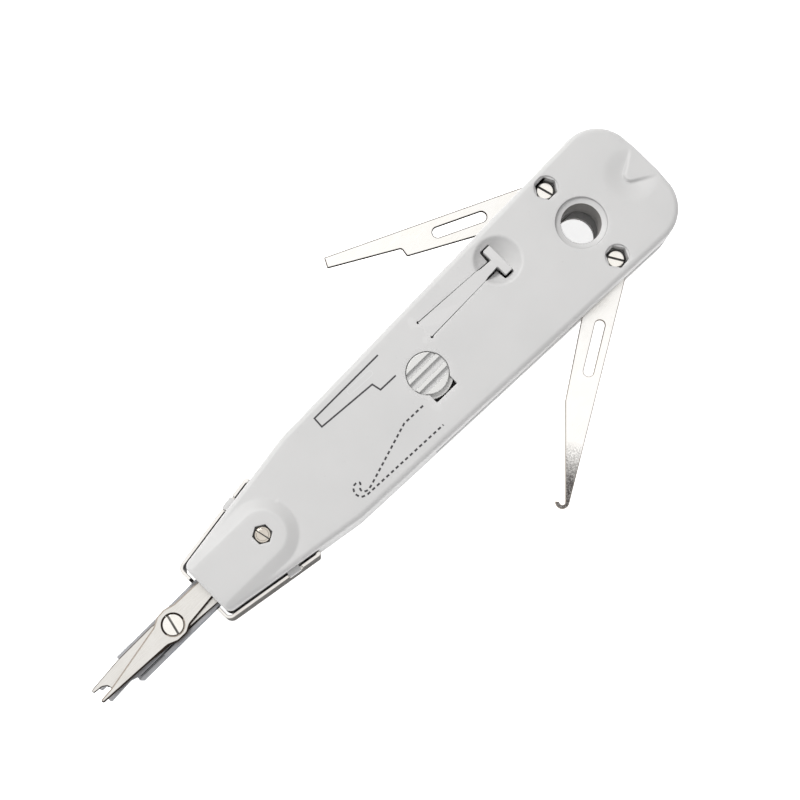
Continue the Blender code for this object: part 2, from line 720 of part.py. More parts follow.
def make_fixed_blade():
    outline = rounded(
        [
            (-60.6, -3.4, 0.6),
            (-60.6, 2.85, 0.6),
            (-80.0, 2.9, 4.0),
            (-86.5, 3.37, 4.0),
            (-97.5, 3.25, 3.0),
            (-106.4, 2.45, 0.5),
            (-106.4, 1.6, 0.35),
            (-104.0, 1.35, 0.8),
            (-102.9, 0.6, 0.6),
            (-102.6, -1.1, 0.4),
            (-88.0, -2.7, 3.0),
            (-78.0, -3.1, 3.0),
            (-71.5, -3.5, 3.0),
        ]
    )
    hole = circle((PIVOT_X, 0), 1.8, count=20)
    blade = slab("fixed_blade", [outline, hole], FIXED_LOW, FIXED_LOW + BLADE_THICK)
    return finish(blade, "fixed_blade", BRIGHT_STEEL)


def make_moving_blade():
    outline = rounded(
        [
            (-61.0, 2.95, 0.7),
            (-71.5, 3.15, 4.0),
            (-79.0, 3.3, 2.5),
            (-81.6, 4.05, 1.8),
            (-84.0, 3.9, 1.8),
            (-86.2, 2.7, 2.5),
            (-102.8, -0.5, 0.5),
            (-106.3, -0.8, 0.4),
            (-106.3, -1.7, 0.4),
            (-86.6, -2.6, 2.5),
            (-84.2, -3.6, 1.8),
            (-81.4, -3.65, 1.8),
            (-79.6, -2.65, 2.0),
            (-71.5, -1.8, 4.0),
            (-61.0, -1.6, 0.7),
        ]
    )
    reach = CAM_X - PIVOT_X - STROKE
    lean = math.radians(CLOSE_ANGLE)
    far = (PIVOT_X + reach * math.cos(lean), reach * math.sin(lean))
    holes = [circle((PIVOT_X, 0), 2.7, count=28), stadium((CAM_X, 0.0), far, 1.1)]
    blade = slab("moving_blade", [outline] + holes, MOVING_LOW, MOVING_LOW + BLADE_THICK)
    on_axis(blade, (PIVOT_X, 0, 0))
    return finish(blade, "moving_blade", BRIGHT_STEEL)


def make_carriage():
    make_channel()
    make_foot()
    make_fixed_blade()
    make_moving_blade()
    slotted_screw("pivot_screw", (PIVOT_X, 0), 2.4, 1.5, 13.9, 12.7, 3.6, 77.0, (0.6, 0.6))
    hexagon_nut("pivot_nut", (PIVOT_X, 0), 2.5, 1.8, 3.3, 4.9)
    pin = rounded([(-103.2, -0.8, 0.5), (-92.0, -0.8, 0.0), (-92.0, 0.8, 0.0), (-103.2, 0.8, 0.5)])
    finish(slab("sensor_pin", [pin], 8.6, 10.6), "sensor_pin", DARK_STEEL)
    spring = coil("sensor_spring", (-91.5, 0, 9.6), (-86.0, 0, 9.6), 0.8, 0.15, 5.5)
    finish(spring, "sensor_spring", SATIN_STEEL)
    block = box("carriage_block", (-50.3, -2.9, 6.4), (-45.0, 2.9, 10.5))
    finish(block, "carriage_block", SATIN_STEEL, False)
    rod = [(0.0, 27.0), (ROD_RADIUS - 0.4, 27.0), (ROD_RADIUS, 26.6), (ROD_RADIUS, -44.7), (0.0, -44.7)]
    finish(turned("plunger_rod", rod, (0, 0, ROD_Z), along_x=True), "plunger_rod", SATIN_STEEL)


# ---------------------------------------------------------------- impact mechanism


def make_mechanism():
    sleeve = [(1.85, -3.0), (3.4, -3.0), (3.7, -3.3), (3.7, -12.7), (3.4, -13.0), (1.85, -13.0)]
    finish(turned("hammer", sleeve, (0, 0, ROD_Z), along_x=True), "hammer", SATIN_STEEL)
    spring = coil("main_spring", (-2.1, 0, ROD_Z), (33.1, 0, ROD_Z), 3.0, 0.45, 11)
    finish(spring, "main_spring", SATIN_STEEL)
    seat = box("spring_seat", (33.9, -4.2, 4.4), (36.7, 4.2, 14.0))
    seat_hole = drum("seat_hole", (0, 0), 1.9, 33.0, 38.0, 20)
    seat_hole.rotation_euler.y = math.pi / 2
    seat_hole.location.z = ROD_Z * MM
    cut(seat, seat_hole)
    finish(seat, "spring_seat", PLASTIC, False)

    lever = box("sear", (-24.0, -1.6, 12.8), (-9.5, 1.6, 15.4))
    tooth = box("sear_tooth", (-16.4, -1.5, 10.6), (-13.7, 1.5, 13.5))
    lever_hole = drum("lever_hole", (0, 0), 0.9, -4.0, 4.0, 16)
    lever_hole.rotation_euler.x = math.pi / 2
    lever_hole.location = Vector((SEAR_X, 0.0, SEAR_Z)) * MM
    on_axis(lever, (SEAR_X, 0, SEAR_Z))
    join(lever, tooth)
    cut(lever, lever_hole)
    finish(lever, "sear", SATIN_STEEL, False)
    pin_profile = [(0.0, 5.2), (0.6, 5.2), (0.6, -5.2), (0.0, -5.2)]
    pin = turned("sear_pin", pin_profile, (SEAR_X, 0, SEAR_Z), steps=16)
    pin.rotation_euler.x = math.pi / 2
    finish(pin, "sear_pin", BRIGHT_STEEL)
    lever_spring = coil("sear_spring", (-11.2, 0, 15.85), (-11.2, 0, 16.9), 0.9, 0.13, 3)
    finish(lever_spring, "sear_spring", SATIN_STEEL)
    cam_profile = [(0.0, 16.6), (0.7, 16.6), (0.7, MOVING_LOW), (0.0, MOVING_LOW)]
    cam = turned("cam_pin", cam_profile, (CAM_X, 0, 0), steps=16)
    finish(cam, "cam_pin", BRIGHT_STEEL)


make_front_shell()
make_back_shell()
make_nose_strap()
make_fasteners()
make_knife()
make_hook()
finish(make_latch("front_latch"), "front_latch", PLASTIC, False)
back_latch = make_latch("back_latch")
flip_over(back_latch)
finish(back_latch, "back_latch", PLASTIC, False)
make_lock_knob()
make_carriage()
make_mechanism()
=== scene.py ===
from math import acos, atan, atan2, ceil, cos, dist, hypot, pi, radians, sin, tan

import bmesh
import bpy
import numpy as np
from mathutils import Matrix, Vector
from mathutils.geometry import delaunay_2d_cdt


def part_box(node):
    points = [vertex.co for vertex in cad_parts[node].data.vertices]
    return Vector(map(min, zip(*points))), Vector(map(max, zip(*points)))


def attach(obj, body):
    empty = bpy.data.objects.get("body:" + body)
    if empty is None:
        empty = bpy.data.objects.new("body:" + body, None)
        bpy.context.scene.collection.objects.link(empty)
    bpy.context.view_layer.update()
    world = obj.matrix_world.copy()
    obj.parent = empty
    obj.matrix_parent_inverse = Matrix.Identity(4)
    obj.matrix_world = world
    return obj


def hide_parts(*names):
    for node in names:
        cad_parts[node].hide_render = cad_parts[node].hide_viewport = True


# Punch down tool: finished surfaces, materials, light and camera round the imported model.
# Sizes are millimetres in the model's own frame (+X nose to butt, +Y knife side, +Z out of the front face),
# and become metres as each mesh is made.

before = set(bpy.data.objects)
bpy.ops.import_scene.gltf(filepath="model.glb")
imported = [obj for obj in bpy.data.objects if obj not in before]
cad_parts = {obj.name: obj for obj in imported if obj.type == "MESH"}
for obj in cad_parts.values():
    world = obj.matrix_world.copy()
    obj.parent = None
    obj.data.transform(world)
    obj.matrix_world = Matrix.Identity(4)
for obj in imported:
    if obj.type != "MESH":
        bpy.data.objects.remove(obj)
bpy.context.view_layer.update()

MM = 0.001


def cad_box(node):
    """Lowest and highest corner of a CAD node, in millimetres."""
    low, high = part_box(node)
    return low / MM, high / MM


def heights(node):
    """Lowest and highest Z of a CAD node, in millimetres."""
    return [corner.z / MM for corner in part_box(node)]


def middle(node):
    """(x, y) of a CAD node's centre, in millimetres."""
    low, high = cad_box(node)
    return (low.x + high.x) / 2, (low.y + high.y) / 2


# ---- driving sizes

SHELL_LOW, SHELL_HIGH = cad_box("front_shell")
BUTT_X, NOSE_X = SHELL_HIGH.x, SHELL_LOW.x
BUTT_HALF = SHELL_HIGH.y
FACE = 19.0  # height of the front face
SPLIT = FACE / 2
BOSS_TOP = SHELL_HIGH.z
NOSE_HALF, KINK_X, KINK_HALF = 7.4, -34.5, 13.2
BUTT_RADIUS, NOSE_RADIUS = 9.75, 1.9
RIM_BODY, RIM_NOSE, RIM_WEDGE = 1.4, 1.0, 0.35  # rounding of the face's rim
WALL = 2.0
SEAM = 0.06  # half the gap between the two shells
NOSE_SLOPE = (KINK_HALF - NOSE_HALF) / (KINK_X - NOSE_X)
ROOF = 17.2  # the cavity's, from the split plane out
POST_RADIUS = 4.15  # the solid post that the cavity leaves round each hinge
SLOT_OFFSET = 4.3  # from a hinge to the edge of the side opening that its blade swings through
BOSS_HALF, BOSS_RUN = 5.55, 2.85  # level top and slope of the boss round the nose screw
FACE_GRID, FINE_GRID, BOSS_GRID, BUTT_GRID = 1.3, 0.42, 0.7, 0.34  # spacings of the points on the face
WALL_ROW = 12.6  # height of the row of points half way up the side wall
TUNNEL_HALF, TUNNEL_END = 4.7, -42.0  # channel that the scissors slide in, from the nose to the cavity
HOLE_POST = 6.6  # radius of the solid post that the hanging hole goes through
# The first radius is the outside of the painted-shade ring round each hinge screw's head.
POCKET_SHADE_RADIUS, SCREW_MOUTH, SCREW_HEX = 2.38, 2.92, 2.82  # at each hinge
STROKE, CUTTER_TURN = 5.0, 5.0  # the carriage's travel, and the degrees that the upper blade closes by

KNIFE_HINGE, HOOK_HINGE = middle("knife_screw"), middle("hook_screw")
NOSE_SCREW_X, PIVOT_X = middle("nose_screw")[0], middle("pivot_screw")[0]
KNIFE_ANGLE, HOOK_ANGLE = 24.6, 30.8  # opened, from the housing's axis
HOLE_X, HOLE_RADIUS, HOLE_MOUTH, HOLE_CONE = 51.0, 4.75, 6.2, 1.3

LATCH_ROOT, LATCH_BAR = (6.8, 7.7), (30.55, 7.5)  # root and T bar centre of the sprung catch
BAR_WIDE, BAR_LONG = 2.2, 7.7
DIMPLE_RADIUS, DIMPLE_DEPTH = 5.8, 2.6
KNOB_RADIUS, FLANGE_RADIUS, FLANGE_TOP = 5.0, 6.1, 17.85
NOTCH_HALF, NOTCH_END = 3.3, 6.45
ARROW_APEX, ARROW_SLOPE, ARROW_ROUND = 66.2, 0.61, 1.2  # wedge at the butt: tip, half width per length
VALLEY_DEPTH, VALLEY_REACH = 0.95, 7.0


# ---- mesh helpers


def new_object(name, data):
    obj = bpy.data.objects.new(name, data)
    bpy.context.scene.collection.objects.link(obj)
    return obj


def weld(mesh, distance):
    """Merges points that are closer than a distance and turns the faces out."""
    shape = bmesh.new()
    shape.from_mesh(mesh)
    bmesh.ops.remove_doubles(shape, verts=shape.verts, dist=distance)
    bmesh.ops.recalc_face_normals(shape, faces=shape.faces)
    shape.to_mesh(mesh)
    shape.free()


def mesh_of(name, verts, faces, flip_out=True):
    """Mesh object from millimetre points; its faces are turned to point out."""
    mesh = bpy.data.meshes.new(name)
    mesh.from_pydata([tuple(np.asarray(v, float) * MM) for v in verts], [], [tuple(f) for f in faces])
    if flip_out:
        weld(mesh, 1e-7)
    return new_object(name, mesh)


def applied(obj):
    """Applies an object's modifiers to its mesh."""
    graph = bpy.context.evaluated_depsgraph_get()
    graph.update()
    mesh = bpy.data.meshes.new_from_object(obj.evaluated_get(graph))
    obj.modifiers.clear()
    old = obj.data
    obj.data = mesh
    bpy.data.meshes.remove(old)
    return obj


def drop(obj):
    bpy.data.objects.remove(obj, do_unlink=True)


def combine(target, tools, operation):
    for tool in tools:
        modifier = target.modifiers.new(operation.lower(), "BOOLEAN")
        modifier.operation = operation
        modifier.solver = "EXACT"
        modifier.object = tool
    bpy.context.view_layer.update()
    applied(target)
    for tool in tools:
        drop(tool)
    return target


def cut(target, *tools):
    return combine(target, tools, "DIFFERENCE")


def smooth(obj, degrees):
    """Smooth shading with sharp edges past an angle, and normals that follow the larger faces."""
    obj.data.shade_smooth()
    obj.data.set_sharp_from_angle(angle=radians(degrees))
    modifier = obj.modifiers.new("normals", "WEIGHTED_NORMAL")
    modifier.keep_sharp = True
    modifier.weight = 80


def bevel(obj, width):
    modifier = obj.modifiers.new("edges", "BEVEL")
    modifier.width = width * MM
    modifier.segments = 2
    modifier.limit_method = "ANGLE"
    modifier.angle_limit = radians(50.0)
    return applied(obj)


def circle(centre, radius, start=0.0, sweep=2 * pi, count=48):
    """Points along an arc; a whole circle doesn't repeat its first point."""
    whole = abs(abs(sweep) - 2 * pi) < 1e-9
    steps = count if whole else count - 1
    angles = [start + sweep * k / steps for k in range(count)]
    return [(centre[0] + radius * cos(a), centre[1] + radius * sin(a)) for a in angles]


def stadium(start, end, radius, count=13):
    along = atan2(end[1] - start[1], end[0] - start[0])
    ends = (end, along - pi / 2), (start, along + pi / 2)
    return [point for centre, first in ends for point in circle(centre, radius, first, pi, count)]


def rounded(corners, step=9.0):
    """Closed outline through (x, y, radius) corners, each turned into an arc of its radius."""
    outline = []
    for index, (x, y, radius) in enumerate(corners):
        corner = Vector((x, y))
        if radius <= 0:
            outline.append((x, y))
            continue
        back = (Vector(corners[index - 1][:2]) - corner).normalized()
        ahead = (Vector(corners[(index + 1) % len(corners)][:2]) - corner).normalized()
        half = back.angle(ahead) / 2
        centre = corner + (back + ahead).normalized() * (radius / sin(half))
        first = corner + back * (radius / tan(half)) - centre
        last = corner + ahead * (radius / tan(half)) - centre
        start = atan2(first.y, first.x)
        sweep = (atan2(last.y, last.x) - start + pi) % (2 * pi) - pi
        count = max(2, ceil(abs(sweep) / radians(step)) + 1)
        outline += circle(centre, radius, start, sweep, count)
    return outline


def resampled(outline, spacing):
    """The outline with its long straight runs divided."""
    out = []
    for index, point in enumerate(outline):
        after = outline[(index + 1) % len(outline)]
        run = dist(point, after)
        parts = max(1, round(run / spacing))
        for k in range(parts):
            share = k / parts
            out.append((point[0] + (after[0] - point[0]) * share, point[1] + (after[1] - point[1]) * share))
    return out


def outward(outline):
    """Unit normals of a counter-clockwise outline, pointing out."""
    points = np.array(outline, float)
    before, after = points - np.roll(points, 1, 0), np.roll(points, -1, 0) - points
    before /= np.linalg.norm(before, axis=1)[:, None]
    after /= np.linalg.norm(after, axis=1)[:, None]
    tangent = before + after
    tangent /= np.linalg.norm(tangent, axis=1)[:, None]
    return np.stack([tangent[:, 1], -tangent[:, 0]], 1)


def inside(outline, points):
    """Which points lie within an outline."""
    ring = np.array(outline, float)
    after = np.roll(ring, -1, 0)
    x, y = points[:, 0][:, None], points[:, 1][:, None]
    crosses = (ring[:, 1] > y) != (after[:, 1] > y)
    rise = np.where(after[:, 1] == ring[:, 1], 1e-12, after[:, 1] - ring[:, 1])
    at = ring[:, 0] + (y - ring[:, 1]) * (after[:, 0] - ring[:, 0]) / rise
    return (np.sum(crosses & (x < at), axis=1) % 2).astype(bool)


def slab(name, outlines, low, high, edge=0.0, edge_steps=2):
    """Flat piece between two heights with rounded rims. Outlines inside the first one are its holes."""
    curve = bpy.data.curves.new(name, "CURVE")
    curve.dimensions = "2D"
    curve.fill_mode = "BOTH"
    curve.extrude = (high - low) / 2 - edge
    curve.bevel_depth = edge
    curve.bevel_resolution = edge_steps
    curve.offset = -edge
    for outline in outlines:
        spline = curve.splines.new("POLY")
        spline.points.add(len(outline) - 1)
        for point, (x, y) in zip(spline.points, outline):
            point.co = (x, y, 0.0, 1.0)
        spline.use_cyclic_u = True
    source = new_object(name + "_curve", curve)
    source.location.z = (low + high) / 2 * MM
    source.scale = (MM, MM, MM)
    bpy.context.view_layer.update()
    graph = bpy.context.evaluated_depsgraph_get()
    mesh = bpy.data.meshes.new_from_object(source.evaluated_get(graph))
    mesh.transform(source.matrix_world)
    drop(source)
    weld(mesh, 1e-6)
    mesh.name = name
    return new_object(name, mesh)


def box(name, low, high):
    corners = [(low[0], low[1]), (high[0], low[1]), (high[0], high[1]), (low[0], high[1])]
    return slab(name, [corners], low[2], high[2])


def disc(name, centre, radius, low, high, count=48):
    return slab(name, [circle(centre, radius, count=count)], low, high)


def placed(obj, point, degrees):
    """Turns a piece's vertices about Z and then moves them by a point; returns the transform."""
    turn = Matrix.Translation(Vector((*point, 0.0)) * MM) @ Matrix.Rotation(radians(degrees), 4, "Z")
    obj.data.transform(turn)
    return turn


def lofted(name, rings):
    """Solid through rings that share one count, with the first and the last ring capped."""
    count = len(rings[0])
    verts = [point for ring in rings for point in ring]
    faces = []
    for start in range(0, len(verts) - count, count):
        for j in range(count):
            after = (j + 1) % count
            faces.append((start + j, start + after, start + count + after, start + count + j))
    faces += [tuple(range(count)), tuple(range(len(verts) - count, len(verts)))]
    return mesh_of(name, verts, faces)


def turned(name, profile, centre=(0.0, 0.0), steps=64):
    """Solid of revolution about an upright axis from (radius, height) pairs that start and end on it."""
    turns = [(cos(a), sin(a)) for a in np.linspace(0, 2 * pi, steps, endpoint=False)]
    rings = [[(r * c + centre[0], r * s + centre[1], h) for c, s in turns] for r, h in profile if r > 0]
    return lofted(name, rings)


def soft_corner(before, corner, after, radius, count=4):
    """Points of a profile corner that is rounded from radius before it to radius after it."""
    corner = Vector(corner)
    first = (Vector(before) - corner).normalized() * radius
    last = (Vector(after) - corner).normalized() * radius
    shares = [k / count for k in range(count + 1)]
    return [tuple(corner + first * (1 - t) ** 2 + last * t**2) for t in shares]


def soft_profile(points, radii):
    """A turned profile with its inner corners rounded, each by its own radius."""
    out = [points[0]]
    for before, corner, after, radius in zip(points, points[1:], points[2:], radii):
        out += soft_corner(before, corner, after, radius) if radius > 0 else [corner]
    return out + [points[-1]]


# ---- face heights


def softplus(value, soft):
    """Zero below 0 and value above it, rounded over a width of about four times soft."""
    return soft * np.logaddexp(0.0, value / soft)


def step_up(value, soft):
    return 1.0 / (1.0 + np.exp(-np.clip(value / soft, -60, 60)))


def boss_height(x, y):
    """Height of the raised boss: straight sides along the nose, a half circle round the nose screw."""
    out = np.where(x > NOSE_SCREW_X, np.hypot(x - NOSE_SCREW_X, y), np.abs(y)) - BOSS_HALF
    rise = BOSS_TOP - FACE
    slope = rise / BOSS_RUN
    return rise - slope * softplus(out, 0.16) + slope * softplus(out - BOSS_RUN, 0.10)


def dimple_drop(x, y):
    """Depth of the round thumb dimple round the T bar."""
    ball = (DIMPLE_RADIUS**2 + DIMPLE_DEPTH**2) / (2 * DIMPLE_DEPTH)
    level = ball - DIMPLE_DEPTH
    radius = np.hypot(x - LATCH_BAR[0], y - LATCH_BAR[1])
    inner = np.sqrt(np.maximum(ball**2 - radius**2, 0.0)) - level
    return softplus(np.where(radius < ball, inner, -level), 0.07)


def arrow_distance(x, y):
    """Signed distance to the wedge's flanks: negative on the wedge."""
    length = hypot(1.0, ARROW_SLOPE)
    along, across = x - ARROW_APEX - ARROW_ROUND, np.abs(y)
    flank = np.maximum((along + across * ARROW_SLOPE) / length, 0.0)
    away = np.hypot(along - flank / length, across - flank * ARROW_SLOPE / length)
    return np.where(across < ARROW_SLOPE * along, -away, away) - ARROW_ROUND


def valley_drop(x, y):
    """Round dish about the wedge's tip that leaves the wedge itself level."""
    away = np.clip(np.hypot(x - ARROW_APEX - 1.3, y) / VALLEY_REACH, 0.0, 1.0)
    return VALLEY_DEPTH * (1 - away**2) ** 2 * step_up(arrow_distance(x, y) - 0.3, 0.1)


def front_height(x, y):
    return FACE + boss_height(x, y) - dimple_drop(x, y) - valley_drop(x, y)


def back_height(x, y):
    return FACE - dimple_drop(x, y)


# ---- housing shells


def half_width(x):
    """Half the housing's width along its tapered nose."""
    return NOSE_HALF + NOSE_SLOPE * (x - NOSE_X)


def housing_outline(inset=0.0, nose=NOSE_X, step=5.0):
    half = [
        (nose, half_width(nose) - inset, max(NOSE_RADIUS - inset, 0.5)),
        (KINK_X, KINK_HALF - inset, 14.0),
        (BUTT_X - inset, BUTT_HALF - inset, BUTT_RADIUS - inset),
    ]
    return rounded([(x, -y, r) for x, y, r in half] + half[::-1], step=step)


def eased(share):
    """Smooth step of a share clipped to 0 and 1."""
    share = np.clip(share, 0.0, 1.0)
    return share * share * (3 - 2 * share)


def rim_radius(x, y):
    """Rounding of the face's rim: slight at the nose, and nearly none where the wedge meets the butt."""
    start, run = -66.0, 26.0  # along the nose, where the rim grows
    rim = RIM_NOSE + (RIM_BODY - RIM_NOSE) * eased((x - start) / run)
    at_wedge = eased((7.0 - np.abs(y)) / 3.4) * (x > 60.0)
    return rim + (RIM_WEDGE - rim) * at_wedge


def root_share(outline):
    """Zero at the tongue's root, one away from it: the root is one piece with the face."""
    return np.clip((np.array(outline)[:, 0] - LATCH_ROOT[0]) / 0.8, 0.0, 1.0)


def latch_outline(slit=0.0, gap=0.0):
    """The sprung tongue: root, taper and T bar. slit widens its long sides and gap the part in the dimple."""
    root_x, root_y = LATCH_ROOT
    bar_x, bar_y = LATCH_BAR
    near, far = bar_x - BAR_WIDE / 2 - gap, bar_x + BAR_WIDE / 2 + gap * 0.3
    bar = BAR_LONG / 2 + gap
    root, mouth, neck = 2.25 + slit, 1.55 + slit, 1.05 + gap
    mouth_x = bar_x - DIMPLE_RADIUS + 0.2
    half = [(root_x, root, 0.0), (mouth_x, mouth, 0.0), (mouth_x + 1.2, mouth - 0.3 + gap * 0.6, 0.3)]
    half += [(near, neck, 0.25), (near, bar, 0.35), (far, bar, 0.35)]
    sides = [[(x, (bar_y if x > root_x else root_y) + side * y, r) for x, y, r in half] for side in (-1, 1)]
    lower, upper = sides
    if not slit:
        return rounded(lower + upper[::-1], step=15.0)
    body = rounded(lower[1:] + upper[:0:-1], step=15.0)
    dot, turn = 0.37, radians(255.0)  # the round end of each slit
    low_end = circle((root_x, root_y - root), dot, pi / 2, turn, 14)
    high_end = circle((root_x, root_y + root), dot, 3 * pi / 2 - turn, turn, 14)
    return low_end + body + high_end


def knob_outline(radius, notch_half, notch_end):
    """Round hole with a square notch on its -Y side."""
    corner = acos(notch_half / radius)
    arc = circle((0, 0), radius, -corner, pi + 2 * corner, 72)
    half = [(notch_half, -notch_end, 0.2), (notch_half, -2.0, 0.0)]
    notch = rounded([(-x, y, r) for x, y, r in half[::-1]] + half, step=30.0)
    return arc + notch[1:-1]


def hexagon(radius, turn, count=48):
    """(radius, angle) of a hexagon at evenly spaced angles that include its corners."""
    out = []
    for k in range(count):
        local = (2 * pi * k / count) % (pi / 3) - pi / 6
        angle = radians(turn) + 2 * pi * k / count
        out.append((radius * cos(pi / 6) / cos(local), angle))
    return out


class Hole:
    """An opening in a face: its outline, the lip's rounding, and (outline, height) rings down its wall."""

    def __init__(self, outline, lip, rings):
        self.outline, self.lip, self.rings = outline, lip, rings


def around(centre, radii_angles):
    return [(centre[0] + r * cos(a), centre[1] + r * sin(a)) for r, a in radii_angles]


def screw_hole(centre, mouth, hex_radius, turn, shelf, floor):
    """Round mouth that steps into a hexagonal pocket."""
    corners = hexagon(hex_radius, turn)
    outline, pocket = around(centre, [(mouth, a) for _, a in corners]), around(centre, corners)
    return Hole(outline, 0.14, [(outline, shelf), (pocket, shelf - 0.15), (pocket, floor)])


def hexagon_hole(centre, radius, turn, floor):
    outline = around(centre, hexagon(radius, turn))
    return Hole(outline, 0.12, [(outline, floor)])


def round_hole(centre, profile, lip):
    """Opening turned from (radius, height) pairs, the first at the face."""
    rings = [(circle(centre, radius, count=96), height) for radius, height in profile]
    return Hole(rings[0][0], lip, rings[1:])


def straight_hole(outline, lip, floor, spacing):
    outline = resampled(outline, spacing)
    return Hole(outline, lip, [(outline, floor)])


def clearance(points, others):
    """Distance from each point to the nearest of the others, worked out in blocks to save memory."""
    blocks = [points[start : start + 2000, None] for start in range(0, len(points), 2000)]
    return np.concatenate([np.linalg.norm(block - others[None], axis=2).min(1) for block in blocks])


def quarter_turn(steps):
    return [pi / 2 * k / steps for k in range(steps + 1)]


def grid(low, high, spacing):
    """Staggered rows of points."""
    rows = []
    for k, y in enumerate(np.arange(low[1], high[1], spacing * 0.866)):
        xs = np.arange(low[0] + (k % 2) * spacing / 2, high[0], spacing)
        rows.append(np.stack([xs, np.full_like(xs, y)], 1))
    return np.concatenate(rows)


def contour_points(distances, spacing):
    """Rows of points along the boss's edges."""
    rows = []
    for d in distances:
        half = BOSS_HALF + d
        arc = circle((NOSE_SCREW_X, 0.0), half, -pi / 2, pi, max(9, int(pi * half / spacing)))
        xs = np.arange(NOSE_X + 0.3, NOSE_SCREW_X, spacing)
        rows.append(np.array(arc))
        rows.append(np.stack([xs, np.full_like(xs, half)], 1))
        rows.append(np.stack([xs, np.full_like(xs, -half)], 1))
    return np.concatenate(rows)


def make_solid(name, height, holes, fine_zones, extra):
    """Half of the housing as one solid: rounded rim, face with its openings, walls and a flat bottom."""
    outline = resampled(housing_outline(), 1.5)
    edge, normal = np.array(outline), outward(outline)
    rim = rim_radius(edge[:, 0], edge[:, 1])
    verts, faces = [], []

    def row(points, z, ring=None):
        """Adds points at one height, or at one height each, and joins them to the ring before."""
        start, count = len(verts), len(points)
        verts.extend(np.column_stack([points, np.full(count, z)]))
        new = list(range(start, start + count))
        for k in range(count if ring else 0):
            after = (k + 1) % count
            faces.append((ring[k], ring[after], new[after], new[k]))
        return new

    def level(points):
        return height(points[:, 0], points[:, 1])

    # bottom, side wall and rim
    bottom, chamfer = SPLIT + SEAM, 0.16
    ring = row(edge - normal * chamfer, bottom)
    faces.append(tuple(ring))
    ring = row(edge, bottom + chamfer, ring)
    ring = row(edge, WALL_ROW, ring)
    for angle in quarter_turn(9):
        border = edge - normal * (rim * (1 - cos(angle)))[:, None]
        ring = row(border, level(border) - rim * (1 - sin(angle)), ring)

    # the face: its border, the openings' lips and loose points
    plan, loops, lips = [tuple(p) for p in border], [range(len(border))], []
    for hole in holes:
        shape, away = np.array(hole.outline), outward(hole.outline)
        lip = np.full(len(shape), hole.lip)
        rows = [(shape + away * (lip * (1 - cos(a)))[:, None], lip * (1 - sin(a))) for a in quarter_turn(3)]
        loops.append(range(len(plan), len(plan) + len(shape)))
        plan.extend(tuple(p) for p in rows[-1][0])
        lips.append(rows)
    edges = [(loop[k], loop[(k + 1) % len(loop)]) for loop in loops for k in range(len(loop))]

    def on_face(points):
        """Which points lie inside the border and outside the openings."""
        return inside(border, points) & ~np.any([inside(rows[-1][0], points) for rows in lips], axis=0)

    body = grid((NOSE_X, -BUTT_HALF), (BUTT_X, BUTT_HALF), FACE_GRID)
    for low, high, _ in fine_zones:
        body = body[~((body > low) & (body < high)).all(1)]
    loose = np.concatenate([body] + [grid(*zone) for zone in fine_zones])
    if len(extra):
        loose = np.concatenate([loose[clearance(loose, extra) >= 0.2], extra])
    loose = loose[on_face(loose) & (clearance(loose, np.array(plan)) > 0.18)]
    plan.extend(tuple(p) for p in loose)
    made = delaunay_2d_cdt([Vector(p) for p in plan], edges, [], 0, 1e-6)
    points, triangles = np.array([tuple(v) for v in made[0]]), made[2]
    wanted = on_face(np.array([points[list(t)].mean(0) for t in triangles]))
    ids = row(points, level(points))
    faces.extend(tuple(ids[k] for k in triangle) for triangle, use in zip(triangles, wanted) if use)

    # openings: lip, wall and floor
    for hole, rows in zip(holes, lips):
        ring = None
        for points, drop_by in rows[::-1]:
            ring = row(points, level(points) - drop_by, ring)
        for points, z in hole.rings:
            ring = row(points, z, ring)
        faces.append(tuple(ring))
    return mesh_of(name, verts, faces)


def swing_slot(hinge):
    """Plan of the side opening that a folding blade swings through."""
    lean = radians(25.0)
    start = Vector(hinge) + Vector((sin(lean), -cos(lean))) * SLOT_OFFSET
    far = start + Vector((cos(lean), sin(lean))) * 33.0
    return [(-10.5, 9.0), (hinge[0], 9.0), tuple(start), tuple(far), (far.x, 30.0), (-10.5, 30.0)]


def hinges_of(front):
    """Hinges as the front half has them or, mirrored, as the back half is built: the slot's own first."""
    if front:
        return KNIFE_HINGE, HOOK_HINGE
    return (HOOK_HINGE[0], -HOOK_HINGE[1]), (KNIFE_HINGE[0], -KNIFE_HINGE[1])


def hollow_out(shell, front):
    """Cavity round its solid posts, the nose tunnel, the side opening and the knob's seat."""
    low, tunnel_top, slot_top = SPLIT - 2.0, 14.4, 12.3
    near, far = hinges_of(front)
    stands = ((HOLE_X, 0.0), HOLE_POST), (near, POST_RADIUS), (far, POST_RADIUS)
    posts = [circle(centre, radius, count=40) for centre, radius in stands]
    cavity = slab("cavity", [housing_outline(WALL, TUNNEL_END - 1.0, 10.0)] + posts, low, ROOF)
    cut(cavity, disc("pad", LATCH_BAR, DIMPLE_RADIUS + 1.4, ROOF - 2.2, ROOF + 1.0))
    tools = [
        cavity,
        box("tunnel", (NOSE_X - 2.0, -TUNNEL_HALF, low), (TUNNEL_END, TUNNEL_HALF, tunnel_top)),
        slab("slot", [swing_slot(near)], low, slot_top),
    ]
    if front:
        tools.append(disc("seat", (0.0, 0.0), FLANGE_RADIUS + 0.35, ROOF - 1.0, FLANGE_TOP + 0.2, 72))
    return cut(shell, *tools)


def turned_over(obj):
    """Turns a piece of the front half over into the back half."""
    turn = Matrix.Translation((0, 0, SPLIT * MM)) @ Matrix.Rotation(pi, 4, "X")
    obj.data.transform(turn @ Matrix.Translation((0, 0, -SPLIT * MM)))
    return obj


